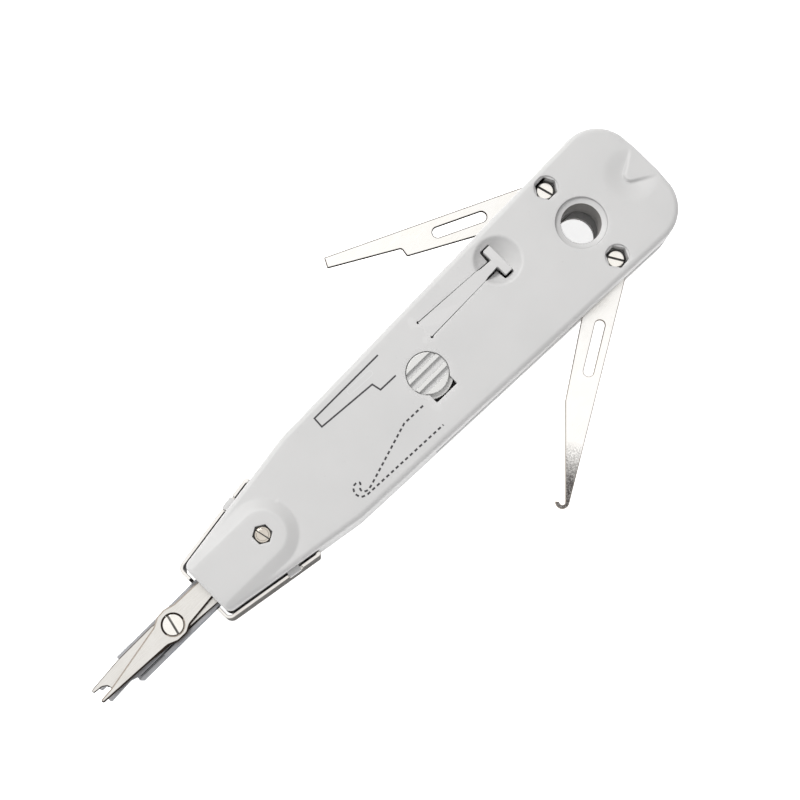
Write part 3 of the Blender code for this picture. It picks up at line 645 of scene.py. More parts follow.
def make_shell(name, front):
    bore = [(HOLE_RADIUS, 0.0), (HOLE_RADIUS, 10.2)]
    if front:
        foot = FACE - HOLE_CONE
        bore = [(HOLE_MOUTH, 0.0), (HOLE_MOUTH - 0.12, FACE - 0.7), (HOLE_RADIUS + 0.1, foot + 0.15)]
        bore += [(HOLE_RADIUS, foot - 0.15), (HOLE_RADIUS, 10.2)]
    catch = straight_hole(latch_outline(0.07, 0.5), 0.0, 14.6, 0.7)
    catch.lip = 0.002 + 0.05 * root_share(catch.outline)
    holes = [round_hole((HOLE_X, 0.0), bore, 0.22), catch]
    for hinge, turn in zip(hinges_of(front), (-2.0, 4.0)):
        holes.append(screw_hole(hinge, SCREW_MOUTH, SCREW_HEX, turn, FACE - 0.45, 14.0 if front else 15.9))
    x, y = LATCH_BAR
    zones, extra = [((x - 6.6, y - 6.6), (x + 6.6, y + 6.6), FINE_GRID)], []
    if front:
        holes.append(hexagon_hole((NOSE_SCREW_X, 0.0), 2.42, 30.0, 17.6))
        holes.append(straight_hole(knob_outline(KNOB_RADIUS + 0.17, NOTCH_HALF, NOTCH_END), 0.1, 15.0, 0.5))
        zones.append(((60.0, -9.5), (BUTT_X, 9.5), BUTT_GRID))
        zones.append(((NOSE_X, -10.5), (NOSE_SCREW_X + 10.0, 10.5), BOSS_GRID))
        off_edge = [-0.5, -0.25, -0.05, 0.15, 0.35, 0.6, 1.3, 2.1, 2.5, 2.7, 2.85, 3.0, 3.25]
        extra = contour_points(off_edge, FINE_GRID)
    else:
        holes.append(hexagon_hole((NOSE_SCREW_X, 0.0), 2.6, 30.0, 16.1))
    return make_solid(name, front_height if front else back_height, holes, zones, extra)


def make_shells():
    """Both halves of the housing; the walls of the hanging hole get a darker material, which is painted shade."""
    front = hollow_out(make_shell("housing_front", True), True)
    back = hollow_out(make_shell("housing_back", False), False)
    for shell in (front, back):
        cut(shell, disc("bore", (HOLE_X, 0.0), HOLE_RADIUS + 0.02, SPLIT - 3.0, 11.5, 96))
    turned_over(back)
    for shell, node in ((front, "front_shell"), (back, "back_shell")):
        finish(shell, node, "housing", "housing_plastic", PLASTIC, 38.0)
        shell.data.materials.append(BORE_SHADE)
        for face in shell.data.polygons:
            away = hypot(face.center.x / MM - HOLE_X, face.center.y / MM)
            if away < HOLE_RADIUS + 0.1 and face.center.z / MM < FACE - HOLE_CONE:
                face.material_index = 1
    return front


def finish(obj, node, body, slot, material, degrees=None, sides=None):
    """Files a finished piece: the CAD node it stands for, what it rides on and what it is made of.

    degrees is the angle that its shading stays sharp from, sides the materials of its sides.
    """
    if degrees:
        smooth(obj, degrees)
    obj.data.materials.clear()
    obj.data.materials.append(material)
    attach(obj, body)
    if node:
        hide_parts(node)
    if sides:
        cut_edges(obj, *sides)


# ---- materials


class Nodes:
    """Short way to write a material's node tree."""

    def __init__(self, name):
        self.material = bpy.data.materials.new(name)
        self.material.use_nodes = True
        self.tree = self.material.node_tree
        self.shader = self.tree.nodes["Principled BSDF"]
        self.plain = self.place()

    def add(self, kind, **inputs):
        node = self.tree.nodes.new(kind)
        for key, value in inputs.items():
            node.inputs[key.replace("_", " ")].default_value = value
        return node

    def link(self, source, target):
        self.tree.links.new(source, target)

    def place(self, scale=(1.0, 1.0, 1.0)):
        """Object coordinates in millimetres, stretched by scale."""
        where = self.add("ShaderNodeTexCoord")
        mapping = self.add("ShaderNodeMapping", Scale=tuple(s / MM for s in scale))
        self.link(where.outputs["Object"], mapping.inputs["Vector"])
        return mapping.outputs["Vector"]

    def noise(self, vector, scale, detail=3.0, roughness=0.5):
        node = self.add("ShaderNodeTexNoise", Scale=scale, Detail=detail, Roughness=roughness)
        self.link(vector, node.inputs["Vector"])
        return node.outputs["Fac"]

    def remap(self, value, low, high, to_low, to_high):
        node = self.add("ShaderNodeMapRange", From_Min=low, From_Max=high, To_Min=to_low, To_Max=to_high)
        self.link(value, node.inputs["Value"])
        return node.outputs["Result"]

    def mix(self, factor, one, other):
        """Mixes two colours, each a value or a socket, by a socket."""
        node = self.add("ShaderNodeMix")
        node.data_type = "RGBA"
        self.link(factor, node.inputs[0])
        for value, socket in ((one, node.inputs[6]), (other, node.inputs[7])):
            if isinstance(value, tuple):
                socket.default_value = (*value, 1.0)
            else:
                self.link(value, socket)
        return node.outputs[2]

    def blend(self, value, low, high, most, one, other):
        """Mixes in up to a share of the second colour as a value goes from low to high."""
        return self.mix(self.remap(value, low, high, 0.0, most), one, other)

    def math(self, operation, one, other):
        node = self.add("ShaderNodeMath")
        node.operation = operation
        self.link(one, node.inputs[0])
        if isinstance(other, float):
            node.inputs[1].default_value = other
        else:
            self.link(other, node.inputs[1])
        return node.outputs[0]

    def bump(self, height, strength, distance):
        node = self.add("ShaderNodeBump", Strength=strength, Distance=distance * MM)
        self.link(height, node.inputs["Height"])
        self.link(node.outputs["Normal"], self.shader.inputs["Normal"])

    def coat(self, colour, roughness, **constants):
        """Sets the shader's colour and roughness from sockets, and its other inputs to constants."""
        self.link(colour, self.shader.inputs["Base Color"])
        self.link(roughness, self.shader.inputs["Roughness"])
        self.fix(**constants)

    def fix(self, **constants):
        for key, value in constants.items():
            self.shader.inputs[key.replace("_", " ")].default_value = value


def make_plastic(name, colour, shade, roughness, groove=None):
    """Light grey ABS with a fine spark-eroded grain, faint flow marks and a little handling dirt in random
    flecks; outward edges get a painted highlight and creases painted shade.

    groove is (low, high, colour): painted shade that darkens what lies below a height, for the floors of the
    knob's grooves.
    """
    nodes = Nodes(name)
    grain = nodes.noise(nodes.plain, 5.5, 4.0, 0.62)
    cloud = nodes.noise(nodes.plain, 0.07)
    flow = nodes.noise(nodes.place((0.03, 0.22, 0.22)), 1.0, 2.0)
    fleck = nodes.noise(nodes.plain, 1.3, 2.0)
    base = nodes.blend(cloud, 0.3, 0.7, 1.0, colour, shade)
    base = nodes.blend(fleck, 0.72, 0.8, 0.35, base, tuple(c * 0.82 for c in shade))
    # Painted shade in the groove floors: below a height the colour is mixed towards a darker one.
    if groove:
        low, high, painted_groove_shade = groove
        parts = nodes.add("ShaderNodeSeparateXYZ")
        nodes.link(nodes.plain, parts.inputs[0])
        z = parts.outputs["Z"]
        above = nodes.remap(z, low - 0.6, low - 0.4, 0.0, 1.0)
        groove_shade_share = nodes.math("MULTIPLY", nodes.remap(z, low, high, 0.9, 0.0), above)
        base = nodes.mix(groove_shade_share, base, painted_groove_shade)
    # Painted highlight on outward edges (high pointiness) and painted shade in creases (low pointiness).
    pointed = nodes.add("ShaderNodeNewGeometry").outputs["Pointiness"]
    base = nodes.blend(pointed, 0.505, 0.56, 0.45, base, tuple(min(1.0, c * 1.1) for c in colour))
    base = nodes.mix(nodes.remap(pointed, 0.44, 0.495, 0.35, 0.0), base, tuple(c * 0.72 for c in shade))
    rough = nodes.remap(nodes.math("ADD", flow, grain), 0.7, 1.3, roughness - 0.06, roughness + 0.07)
    nodes.coat(base, rough, Specular_IOR_Level=0.42)
    nodes.bump(grain, 0.22, 0.05)
    return nodes.material


def make_steel(name, colour, tint, roughness, spread, along=(0.05, 1.6, 1.6), heel=None, graze=(1.0, 1.0, 1.0)):
    """Rolled or plated sheet: drawn lines, cloudy plating and a few light stains.

    heel is (start, direction, near, far, colour) for a tip that darkens with the distance from a start.
    graze tints what it reflects at a low angle.
    """
    nodes = Nodes(name)
    lines = nodes.noise(nodes.place(along), 4.0, 4.0, 0.6)
    cloud = nodes.noise(nodes.plain, 0.22, 3.0, 0.55)
    spots = nodes.noise(nodes.plain, 0.9, 4.0, 0.7)
    base = nodes.blend(cloud, 0.35, 0.7, 1.0, colour, tint)
    base = nodes.blend(spots, 0.64, 0.76, 0.25, base, tuple(c * 0.62 for c in tint))
    if heel:
        start, direction, near, far, dark = heel
        reach = nodes.add("ShaderNodeVectorMath")
        reach.operation = "DOT_PRODUCT"
        nodes.link(nodes.plain, reach.inputs[0])
        reach.inputs[1].default_value = (*direction, 0.0)
        first = Vector(start).dot(Vector(direction))
        share = nodes.remap(reach.outputs["Value"], first + near, first + far, 0.0, 0.8)
        mottle = nodes.remap(nodes.noise(nodes.plain, 2.6, 4.0, 0.75), 0.38, 0.62, -0.2, 0.2)
        tarnish = nodes.math("ADD", share, nodes.math("MULTIPLY", mottle, nodes.remap(share, 0.0, 0.2, 0.0, 1.0)))
        base = nodes.blend(tarnish, 0.0, 0.9, 1.0, base, dark)
    mixed = nodes.math("ADD", lines, nodes.math("MULTIPLY", cloud, 0.6))
    rough = nodes.remap(mixed, 0.5, 1.15, roughness - spread, roughness + spread)
    nodes.coat(base, rough, Metallic=1.0, Specular_Tint=(*graze, 1.0))
    nodes.bump(nodes.math("ADD", lines, nodes.math("MULTIPLY", spots, 0.3)), 0.05, 0.02)
    return nodes.material


def make_edge(name, colour, shade):
    """Matt sheared side of sheet steel, streaked through its thickness; its dark colour is partly painted shade.
    """
    nodes = Nodes(name)
    streaks = nodes.noise(nodes.place((1.6, 1.6, 0.3)), 2.0, 3.0, 0.6)
    base = nodes.blend(streaks, 0.35, 0.7, 1.0, colour, shade)
    nodes.coat(base, nodes.remap(streaks, 0.3, 0.7, 0.6, 0.8), Specular_IOR_Level=0.0)
    nodes.bump(streaks, 0.15, 0.02)
    return nodes.material


def cut_edges(piece, toward_low, toward_high):
    """Gives the sides of a steel piece materials of their own, for sides facing -Y and +Y: painted shade, darkest
    on the sides that face -Y, away from the key light.
    """
    for material in (toward_low, toward_high):
        piece.data.materials.append(material)
    for face in piece.data.polygons:
        if abs(face.normal.z) < 0.85:
            face.material_index = 1 if face.normal.y < 0.15 else 2


def make_ink(name):
    nodes = Nodes(name)
    speckle = nodes.noise(nodes.plain, 3.5, 3.0, 0.6)
    base = nodes.blend(speckle, 0.35, 0.7, 1.0, (0.018, 0.017, 0.02), (0.045, 0.042, 0.047))
    nodes.coat(base, nodes.remap(speckle, 0.3, 0.7, 0.45, 0.62))
    nodes.bump(speckle, 0.1, 0.02)
    return nodes.material


PLASTIC = make_plastic("moulded_grey", (0.53, 0.527, 0.526), (0.505, 0.503, 0.502), 0.52)
# Painted shade: a darker copy of the housing plastic for the walls inside the hanging hole.
BORE_SHADE = make_plastic("bore_painted_shade", (0.26, 0.245, 0.235), (0.22, 0.21, 0.2), 0.6)
# The knob's plastic; the colour after the groove heights is painted shade for its groove floors.
KNOB_PLASTIC = make_plastic("knob_grey", (0.59, 0.588, 0.578), (0.57, 0.568, 0.56), 0.46,
                            (FACE - 0.5, FACE + 0.1, (0.44, 0.44, 0.445)))
# Sheared sides of the steel pieces, partly painted shade: the darkest copy for sides that face -Y, away from the
# key light, lighter brown and warm copies for sides that face +Y.
EDGE_SHADED = make_edge("sheared_shaded", (0.04, 0.03, 0.025), (0.024, 0.019, 0.016))
EDGE_BROWN = make_edge("sheared_brown", (0.13, 0.11, 0.095), (0.085, 0.07, 0.06))
EDGE_WARM = make_edge("sheared_warm", (0.34, 0.30, 0.26), (0.26, 0.225, 0.195))
BRIGHT = make_steel("bright_nickel", (0.90, 0.885, 0.86), (0.85, 0.83, 0.79), 0.24, 0.07)
HOOK_STEEL = make_steel("hook_nickel", (0.98, 0.965, 0.94), (0.95, 0.93, 0.895), 0.24, 0.07,
                        heel=(HOOK_HINGE, (-0.859, -0.512), 43.5, 53.0, (0.05, 0.042, 0.04)))
BLADE = make_steel("blade_nickel", (0.74, 0.72, 0.69), (0.67, 0.65, 0.615), 0.26, 0.07)
STRAP = make_steel("strap_nickel", (0.86, 0.84, 0.81), (0.78, 0.75, 0.71), 0.26, 0.07)
# Painted shade: a darker copy of the strap's steel, with its low-angle reflections darkened too, for the strap's
# sides.
STRAP_SIDE_SHADE = make_steel("strap_side_shade", (0.40, 0.38, 0.35), (0.32, 0.30, 0.275), 0.3, 0.07,
                        graze=(0.02, 0.016, 0.014))
# Painted shade: a darker copy of the satin steel, with duller low-angle reflections, for the channel's sides.
SATIN_SIDE_SHADE = make_steel("satin_side_shade", (0.36, 0.365, 0.38), (0.29, 0.295, 0.305), 0.36, 0.08,
                        graze=(0.3, 0.31, 0.34))
SCREW = make_steel("screw_nickel", (0.93, 0.91, 0.87), (0.86, 0.83, 0.77), 0.2, 0.06, (0.5, 0.5, 0.5))
STUD = make_steel("stud_nickel", (0.66, 0.61, 0.54), (0.54, 0.49, 0.43), 0.24, 0.06, (0.5, 0.5, 0.5))
SATIN = make_steel("satin_steel", (0.40, 0.405, 0.42), (0.32, 0.32, 0.33), 0.36, 0.08)
# Dark steel for the sensor finger; it is also painted shade in the screws' driver slots and under the pivot
# bolt's head.
DARK_STEEL_AND_SHADE = make_steel("dark_steel", (0.13, 0.125, 0.12), (0.09, 0.085, 0.08), 0.4, 0.08)
# Print ink; also the painted-shade rings on the floors of the hinge screws' pockets.
INK_AND_SHADE = make_ink("print_ink_and_shade")
FAINT_INK = make_plastic("faint_line", (0.55, 0.55, 0.555), (0.53, 0.53, 0.535), 0.5)


# ---- housing details


def make_tabs(shell):
    """Two square tabs that hold the strap."""
    lean, x = atan(NOSE_SLOPE), -53.9
    for side in (1, -1):
        centre = Vector((x, side * half_width(x)))
        along = Vector((cos(lean), side * sin(lean)))
        out = Vector((-along.y, along.x)) * side
        corners = [(-1.55, -1.2), (1.55, -1.2), (1.55, 1.2), (-1.55, 1.2)]
        plan = [(*(centre + along * a + out * (b + 0.25)), 0.12) for a, b in corners]
        tab = slab(f"tab_{side}", [rounded(plan[::side], 30.0)], 13.4, 16.3, 0.12)
        combine(shell, [tab], "UNION")


def bar_share(outline):
    """One at the T bar, zero along the rest of the tongue."""
    return np.clip((np.array(outline)[:, 0] - LATCH_BAR[0] + 2.5) / 1.0, 0.0, 1.0)


def eased_slab(name, outline, low, high, easing):
    """Slab whose top rim is rounded by a radius of its own at each point."""
    shape, away = np.array(outline), outward(outline)
    rings = [np.column_stack([shape, np.full(len(shape), low)])]
    for angle in quarter_turn(3):
        inset = easing * (1 - cos(angle))
        rings.append(np.column_stack([shape - away * inset[:, None], high - easing * (1 - sin(angle))]))
    return lofted(name, rings)


def make_catch(name, node, body, front):
    """Sprung T tongue: the bar stands in the dimple, the leg and foot reach under the folded blade."""
    low = 17.4
    outline = resampled(latch_outline(), 0.7)
    easing = 0.001 + 0.05 * root_share(outline) * (1 + 2 * bar_share(outline))
    tongue = eased_slab(name, outline, low, FACE, easing)

    def post(part, near, far, turn, *rest):
        x = LATCH_BAR[0]
        plan = [(x - 1.0, near, 0.2), (x + 1.0, near, 0.2), (x + 1.0, far, turn), (x - 1.0, far, turn)]
        return slab(part, [rounded(plan)], *rest)

    leg = post("leg", 5.9, 6.9, 0.2, 9.1, low + 0.3)
    foot = post("foot", 5.95, 12.2, 0.4, 9.0, 10.2, 0.12)
    combine(tongue, [leg, foot], "UNION")
    if not front:
        turned_over(tongue)
    finish(tongue, node, body, "housing_plastic", PLASTIC, 30.0)


def make_knob():
    """Lock knob with three finger grooves over a wider flange."""
    top, shelf, low, depth = FACE + 0.1, FLANGE_TOP, 15.7, 0.95
    profile = [(0.0, top), (KNOB_RADIUS, top), (KNOB_RADIUS, shelf), (FLANGE_RADIUS, shelf), (FLANGE_RADIUS, low)]
    knob = turned("knob", soft_profile(profile + [(0.0, low)], [0.3, 0.15, 0.2, 0.15]), steps=96)
    for y, width in ((-2.55, 1.2), (0.0, 1.75), (2.55, 1.2)):
        half = width / 2
        left, right, floor = y - half, y + half, (y, top - depth)
        mouth_left, mouth_right = (left - 0.14, top + 0.02), (right + 0.14, top + 0.02)
        section = [(mouth_left[0], top + 0.6), mouth_left]
        section += soft_corner(mouth_left, (left, top - 0.15), (left, top - 0.5), 0.1, 2)
        section += soft_corner((left, top - 0.3), (left, top - depth), floor, 0.1, 3)
        section += soft_corner(floor, (right, top - depth), (right, top - 0.3), 0.1, 3)
        section += soft_corner((right, top - 0.5), (right, top - 0.15), mouth_right, 0.1, 2)
        section += [mouth_right, (mouth_right[0], top + 0.6)]
        cut(knob, lofted("groove", [[(x, a, b) for a, b in section] for x in (-7.0, 7.0)]))
    pin = turned("pin", [(0.0, 16.0), (0.7, 16.0), (0.7, 12.9), (0.55, 12.7), (0.0, 12.7)], (0.0, 2.5), 24)
    combine(knob, [pin], "UNION")
    finish(knob, "lock_knob", "knob", "knob_plastic", KNOB_PLASTIC, 32.0)


def make_strap():
    """Bent steel strip round the nose; its ends curl in behind the tabs."""
    gap, thick, end_x = 0.5, 0.8, -46.6
    front = NOSE_X - gap - thick
    outer = [(end_x, half_width(end_x) + (gap - 0.15), 0.0)]
    outer += [(x, half_width(x) + (gap + thick), r) for x, r in ((end_x, 0.75), (front, 1.9))]
    inner = [(front + thick, half_width(front + thick) + gap, 1.1)]
    curl = [(x, half_width(x) + out, r) for x, out, r in ((end_x - 1.3, gap, 0.4), (end_x - 0.7, gap - 0.3, 0.2))]
    corners = outer + [(x, -y, r) for x, y, r in outer[::-1] + curl[::-1] + inner] + inner + curl
    strap = slab("strap", [rounded(corners, 8.0)], 1.6, 15.2, 0.1, 0)
    cut(strap, box("window", (front - 2, -4.75, 4.3), (front + 4, 4.75, 20.0)))
    for low_y, high_y in ((8.0, 14.0), (-14.0, -8.0)):
        cut(strap, box("notch", (-55.9, low_y, 13.2), (-51.9, high_y, 20.0)))
    # The strap's sides take the painted-shade copy of its steel.
    finish(strap, "nose_strap", "housing", "bright_steel", STRAP, 30.0, (STRAP_SIDE_SHADE, STRAP_SIDE_SHADE))


# ---- fasteners


def slotted_screw(name, node, body, centre, radii, levels, slot_turn, slot, edge, collar=None, material=SCREW):
    """Cheese-head screw with a rounded head edge and a driver slot.

    radii are the head's and the shank's, levels the heights of the head's top and foot and of the tip.
    """
    (head, shank), (top, head_low, tip), (width, depth) = radii, levels, slot
    outer = [(head, top), (head, head_low), (shank, head_low), (shank, tip), (0.0, tip)]
    rounding = [edge, 0.08, 0.05, 0.25]
    if collar:
        radius, drop_by = collar
        outer = [(radius, top), (radius, top - drop_by), (head, top - drop_by)] + outer[1:]
        rounding = [edge, 0.0, 0.12] + rounding[1:]
    screw = turned(name, soft_profile([(0.0, top)] + outer, rounding), centre)
    groove = box("groove", (-head - 1, -width / 2, top - depth), (head + 1, width / 2, top + 1))
    turn = placed(groove, centre, slot_turn)
    cut(screw, groove)
    bevel(screw, 0.05)
    finish(screw, node, body, "bright_steel", material, 32.0)
    # Painted shade: the faces inside the driver slot get the dark steel.
    screw.data.materials.append(DARK_STEEL_AND_SHADE)
    back = turn.inverted()
    for face in screw.data.polygons:
        across = (back @ face.center).y / MM
        if abs(across) < width / 2 + 0.01 and -depth - 0.02 < face.center.z / MM - top < -0.08:
            face.material_index = 1


def nut(name, node, body, centre, radius, bore, low, high, turn):
    """Hexagon nut with turned corners."""
    rings = []
    for height, share in ((low, 0.93), (low + 0.3, 1.0), (high - 0.3, 1.0), (high, 0.93)):
        ring = []
        for x, y in around(centre, hexagon(radius, turn)):
            away = Vector((x - centre[0], y - centre[1]))
            away = away.normalized() * min(away.length, radius * share)
            ring.append((centre[0] + away.x, centre[1] + away.y, height))
        rings.append(ring)
    piece = lofted(name, rings)
    cut(piece, disc("hole", centre, bore, low - 1, high + 1, 40))
    finish(piece, node, body, "bright_steel", SCREW, 25.0)


def flat_ring(name, body, centre, radii, low, high, material):
    outlines = [circle(centre, radius, count=56) for radius in radii]
    finish(slab(name, outlines, low, high), None, body, "dark_steel", material)


def make_fasteners():
    nose, pivot = (NOSE_SCREW_X, 0.0), (PIVOT_X, 0.0)
    slotted_screw("nose_stud", "nose_screw", "housing", nose, (1.85, 1.2), (19.6, 17.9, 0.8), -77.0,
                  (0.3, 0.4), 0.12, (1.45, 0.22), STUD)
    nut("nose_hex_nut", "nose_nut", "housing", nose, 2.3, 1.5, 0.6, 2.6, -30.0)
    for side, centre, slot_turn, turn in (("knife", KNIFE_HINGE, -75.0, -4.0), ("hook", HOOK_HINGE, -59.0, 2.0)):
        slotted_screw(side + "_pan_screw", side + "_screw", "housing", centre, (2.0, 1.3), (15.7, 14.3, 1.0),
                      slot_turn, (0.55, 0.6), 0.2)
        # Painted shade: a dark ring of ink on the floor of the screw's pocket, round its head.
        flat_ring(side + "_pocket_shade", "housing", centre, (POCKET_SHADE_RADIUS, 1.5), 14.05, 14.25, INK_AND_SHADE)
        nut(side + "_hex_nut", side + "_nut", "housing", centre, 2.6, 1.6, 0.7, 2.8, turn)
    slotted_screw("pivot_bolt", "pivot_screw", "carriage", pivot, (2.4, 1.5), (13.9, 12.7, 3.6), 77.0,
                  (0.5, 0.5), 0.08)
    # Painted shade: a dark ring under the pivot bolt's head, where the gap round the head lies in shade.
    flat_ring("pivot_gap_shade", "carriage", pivot, (2.98, 1.9), 12.36, 12.5, DARK_STEEL_AND_SHADE)
    nut("pivot_hex_nut", "pivot_nut", "carriage", pivot, 2.5, 1.8, 3.3, 4.9, 0.0)


# ---- fold-out blades


def flat_piece(name, node, body, look, outlines, edge, sides=None, place=None):
    """Flat piece as thick as its CAD node. look is its slot name, which is not used, and its material; sides the
    materials of its sides.
    """
    piece = slab(name, outlines, *heights(node), edge, 0 if sides else 2)
    if place:
        placed(piece, *place)
    finish(piece, node, body, *look, 30.0, sides)


def make_knife():
    edge, root, step_x = 3.42, 3.9, -35.7
    outline = [(root, edge, 3.2), (-54.35, edge, 0.3), (-54.45, edge - 2.7, 0.3), (step_x - 0.6, edge - 4.2, 0.8)]
    outline += [(step_x, edge - 6.4, 0.5), (-12.0, edge - 7.8, 8.0), (root, edge - 7.7, 3.6)]
    holes = [circle((0, 0), 1.7, count=40), stadium((-26.85, 0.0), (-15.85, 0.0), 1.25, 21)]
    flat_piece("knife_leaf", "knife", "knife_blade", ("bright_steel", BRIGHT),
               [rounded(outline, 7.0)] + holes, 0.24, (EDGE_SHADED, EDGE_BROWN), (KNIFE_HINGE, -KNIFE_ANGLE))


def make_hook():
    edge, root, curl = -3.82, 3.9, 1.7
    centre = (-59.82 + curl, edge + curl)
    outer = circle(centre, curl, radians(270), radians(-170), 31)
    inner = circle(centre, curl - 1.0, radians(100), radians(175), 27)
    outline = [(x, y, 0.0) for x, y in outer + inner] + [(-34.7, edge + 6.8, 1.0), (-14.0, edge + 7.8, 8.0)]
    outline += [(root, edge + 7.7, 3.6), (root, edge, 3.6)]
    holes = [circle((0, 0), 1.7, count=40), stadium((-26.4, -0.68), (-14.9, -0.62), 1.2, 21)]
    flat_piece("hook_leaf", "hook", "hook_blade", ("bright_steel", HOOK_STEEL),
               [rounded(outline, 7.0)] + holes, 0.18, (EDGE_WARM, EDGE_WARM), (HOOK_HINGE, HOOK_ANGLE))


# ---- scissors


def make_channel():
    """Folded sheet channel under the blades, stepped and cut off at an angle on the hook side."""
    low, high, half, sheet, bend = 5.2, 10.8, 4.1, 0.9, 0.7
    right = [(half, low, bend), (half, high, 0.1), (half - sheet, high, 0.1), (half - sheet, low + sheet, 0.25)]
    left = [(-y, z, r) for y, z, r in right[::-1]]
    section = rounded(left[-1:] + right + left[:-1], step=15.0)
    channel = lofted("rail_channel", [[(x, y, z) for y, z in section] for x in (-97.0, -47.0)])
    step = box("step", (-99.0, -half - 1, 8.3), (-88.8, -2.0, high + 1))
    corner = slab("corner", [[(-95.0, -5.5), (-98.5, -5.5), (-98.5, -1.9)]], low - 1, high + 1)
    screw_slot = slab("screw_slot", [stadium((-58.6, 0), (-53.4, 0), 1.7)], low - 1, high)
    cut(channel, step, corner, screw_slot, disc("hole", (PIVOT_X, 0), 1.8, low - 1, high))
    bevel(channel, 0.07)
    # The channel's sides take the painted-shade copy of the satin steel.
    finish(channel, "channel", "carriage", "satin_steel", SATIN, 32.0, (SATIN_SIDE_SHADE, SATIN_SIDE_SHADE))


def make_foot():
    outline = [(-76.0, 2.8, 0.5), (-97.0, 2.8, 2.0), (-105.0, 2.2, 0.5), (-105.0, 1.0, 0.4),
               (-101.5, 0.9, 0.5), (-101.5, -0.9, 0.5), (-105.2, -1.3, 0.4), (-105.2, -2.45, 0.5),
               (-98.5, -2.05, 1.0), (-96.0, -2.8, 1.0), (-76.0, -2.8, 0.5)]
    flat_piece("inserter", "inserter_foot", "carriage", ("satin_steel", SATIN),
               [rounded(outline), circle((PIVOT_X, 0), 1.8)], 0.12)


def make_fixed_blade():
    outline = [(-60.6, -3.4, 0.6), (-60.6, 2.85, 0.6), (-80.0, 2.9, 4.0), (-86.5, 3.37, 4.0),
               (-97.5, 3.25, 3.0), (-106.4, 2.45, 0.5), (-106.4, 1.6, 0.35), (-104.0, 1.35, 0.8),
               (-102.9, 0.6, 0.6), (-102.6, -1.1, 0.4), (-88.0, -2.7, 3.0), (-78.0, -3.1, 3.0),
               (-71.5, -3.5, 3.0)]
    flat_piece("lower_blade", "fixed_blade", "carriage", ("bright_steel", BLADE),
               [rounded(outline, 6.0), circle((PIVOT_X, 0), 1.8)], 0.2, (EDGE_SHADED, EDGE_BROWN))


def make_moving_blade():
    outline = [(-61.0, 2.95, 0.7), (-71.5, 3.15, 4.0), (-79.0, 3.3, 2.5), (-81.6, 4.05, 1.8),
               (-84.0, 3.9, 1.8), (-86.2, 2.7, 2.5), (-102.8, -0.5, 0.5), (-106.3, -0.8, 0.4),
               (-106.3, -1.7, 0.4), (-86.6, -2.6, 2.5), (-84.2, -3.6, 1.8), (-81.4, -3.65, 1.8),
               (-79.6, -2.65, 2.0), (-71.5, -1.8, 4.0), (-61.0, -1.6, 0.7)]
    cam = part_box("cam_pin")
    cam_x, lean = (cam[0].x + cam[1].x) / 2 / MM, radians(CUTTER_TURN)
    reach = cam_x - PIVOT_X - STROKE
    far = (PIVOT_X + reach * cos(lean), reach * sin(lean))
    holes = [circle((PIVOT_X, 0), 2.5, count=56), stadium((cam_x, 0.0), far, 1.1)]
    flat_piece("upper_blade", "moving_blade", "cutter", ("bright_steel", BLADE),
               [rounded(outline, 6.0)] + holes, 0.36, (EDGE_SHADED, EDGE_WARM))


def make_sensor():
    """Dark sensor finger between the prongs, with a notched tip."""
    tip, notch, root = -103.2, -102.4, -92.0
    outline = [(tip, -0.8, 0.3), (root, -0.8, 0.0), (root, 0.8, 0.0), (tip, 0.8, 0.3), (tip, 0.35, 0.1),
               (notch, 0.3, 0.15), (notch, -0.3, 0.15), (tip, -0.35, 0.1)]
    flat_piece("sensor_finger", "sensor_pin", "sensor", ("dark_steel", DARK_STEEL_AND_SHADE), [rounded(outline, 15.0)], 0.08)


# ---- print on the face


def ribbon(path, width):
    """Quads along a path, mitred at its corners, as (x, y) pairs of its two sides."""
    points = [Vector(p) for p in path]
    left, right = [], []
    for k, point in enumerate(points):
        before = (point - points[k - 1]).normalized() if k else (points[1] - point).normalized()
        after = (points[k + 1] - point).normalized() if k + 1 < len(points) else before
        across = Vector((-(before + after).y, (before + after).x)).normalized()
        stretch = width / 2 / max(across.dot(Vector((-before.y, before.x))), 0.5)
        left.append(point + across * stretch)
        right.append(point - across * stretch)
    return left, right


def dashes(path, dash, space):
    """The stretches of a path that a dashed line shows."""
    points = [Vector(p) for p in path]
    out, current, used, drawing = [], [points[0]], 0.0, True
    for start, end in zip(points, points[1:]):
        run, done = (end - start).length, 0.0
        while done < run:
            left_over = (dash if drawing else space) - used
            if run - done < left_over:
                used += run - done
                done = run
                if drawing:
                    current.append(end)
                continue
            done += left_over
            used = 0.0
            here = start.lerp(end, done / run)
            if drawing:
                current.append(here)
                out.append(current)
            current = [here]
            drawing = not drawing
    if drawing and len(current) > 1:
        out.append(current)
    return out


def make_print(name, paths, width, thickness=0.02, material=INK_AND_SHADE):
    """Ink lines as thin films on the face."""
    verts, faces = [], []
    for path in paths:
        left, right = ribbon(path, width)
        start = len(verts)
        for a, b in zip(left, right):
            for point in (a, b):
                verts += [(point.x, point.y, FACE - 0.01), (point.x, point.y, FACE + thickness)]
        count = len(left)
        for k in range(count - 1):
            i = start + 4 * k
            j = i + 4
            faces += [(i + 1, i + 3, j + 3, j + 1), (i, j, j + 2, i + 2)]
            faces += [(i, i + 1, j + 1, j), (i + 2, j + 2, j + 3, i + 3)]
        last = start + 4 * (count - 1)
        faces += [(start, start + 2, start + 3, start + 1), (last, last + 1, last + 3, last + 2)]
    finish(mesh_of(name, verts, faces), None, "housing", "housing_plastic", material)


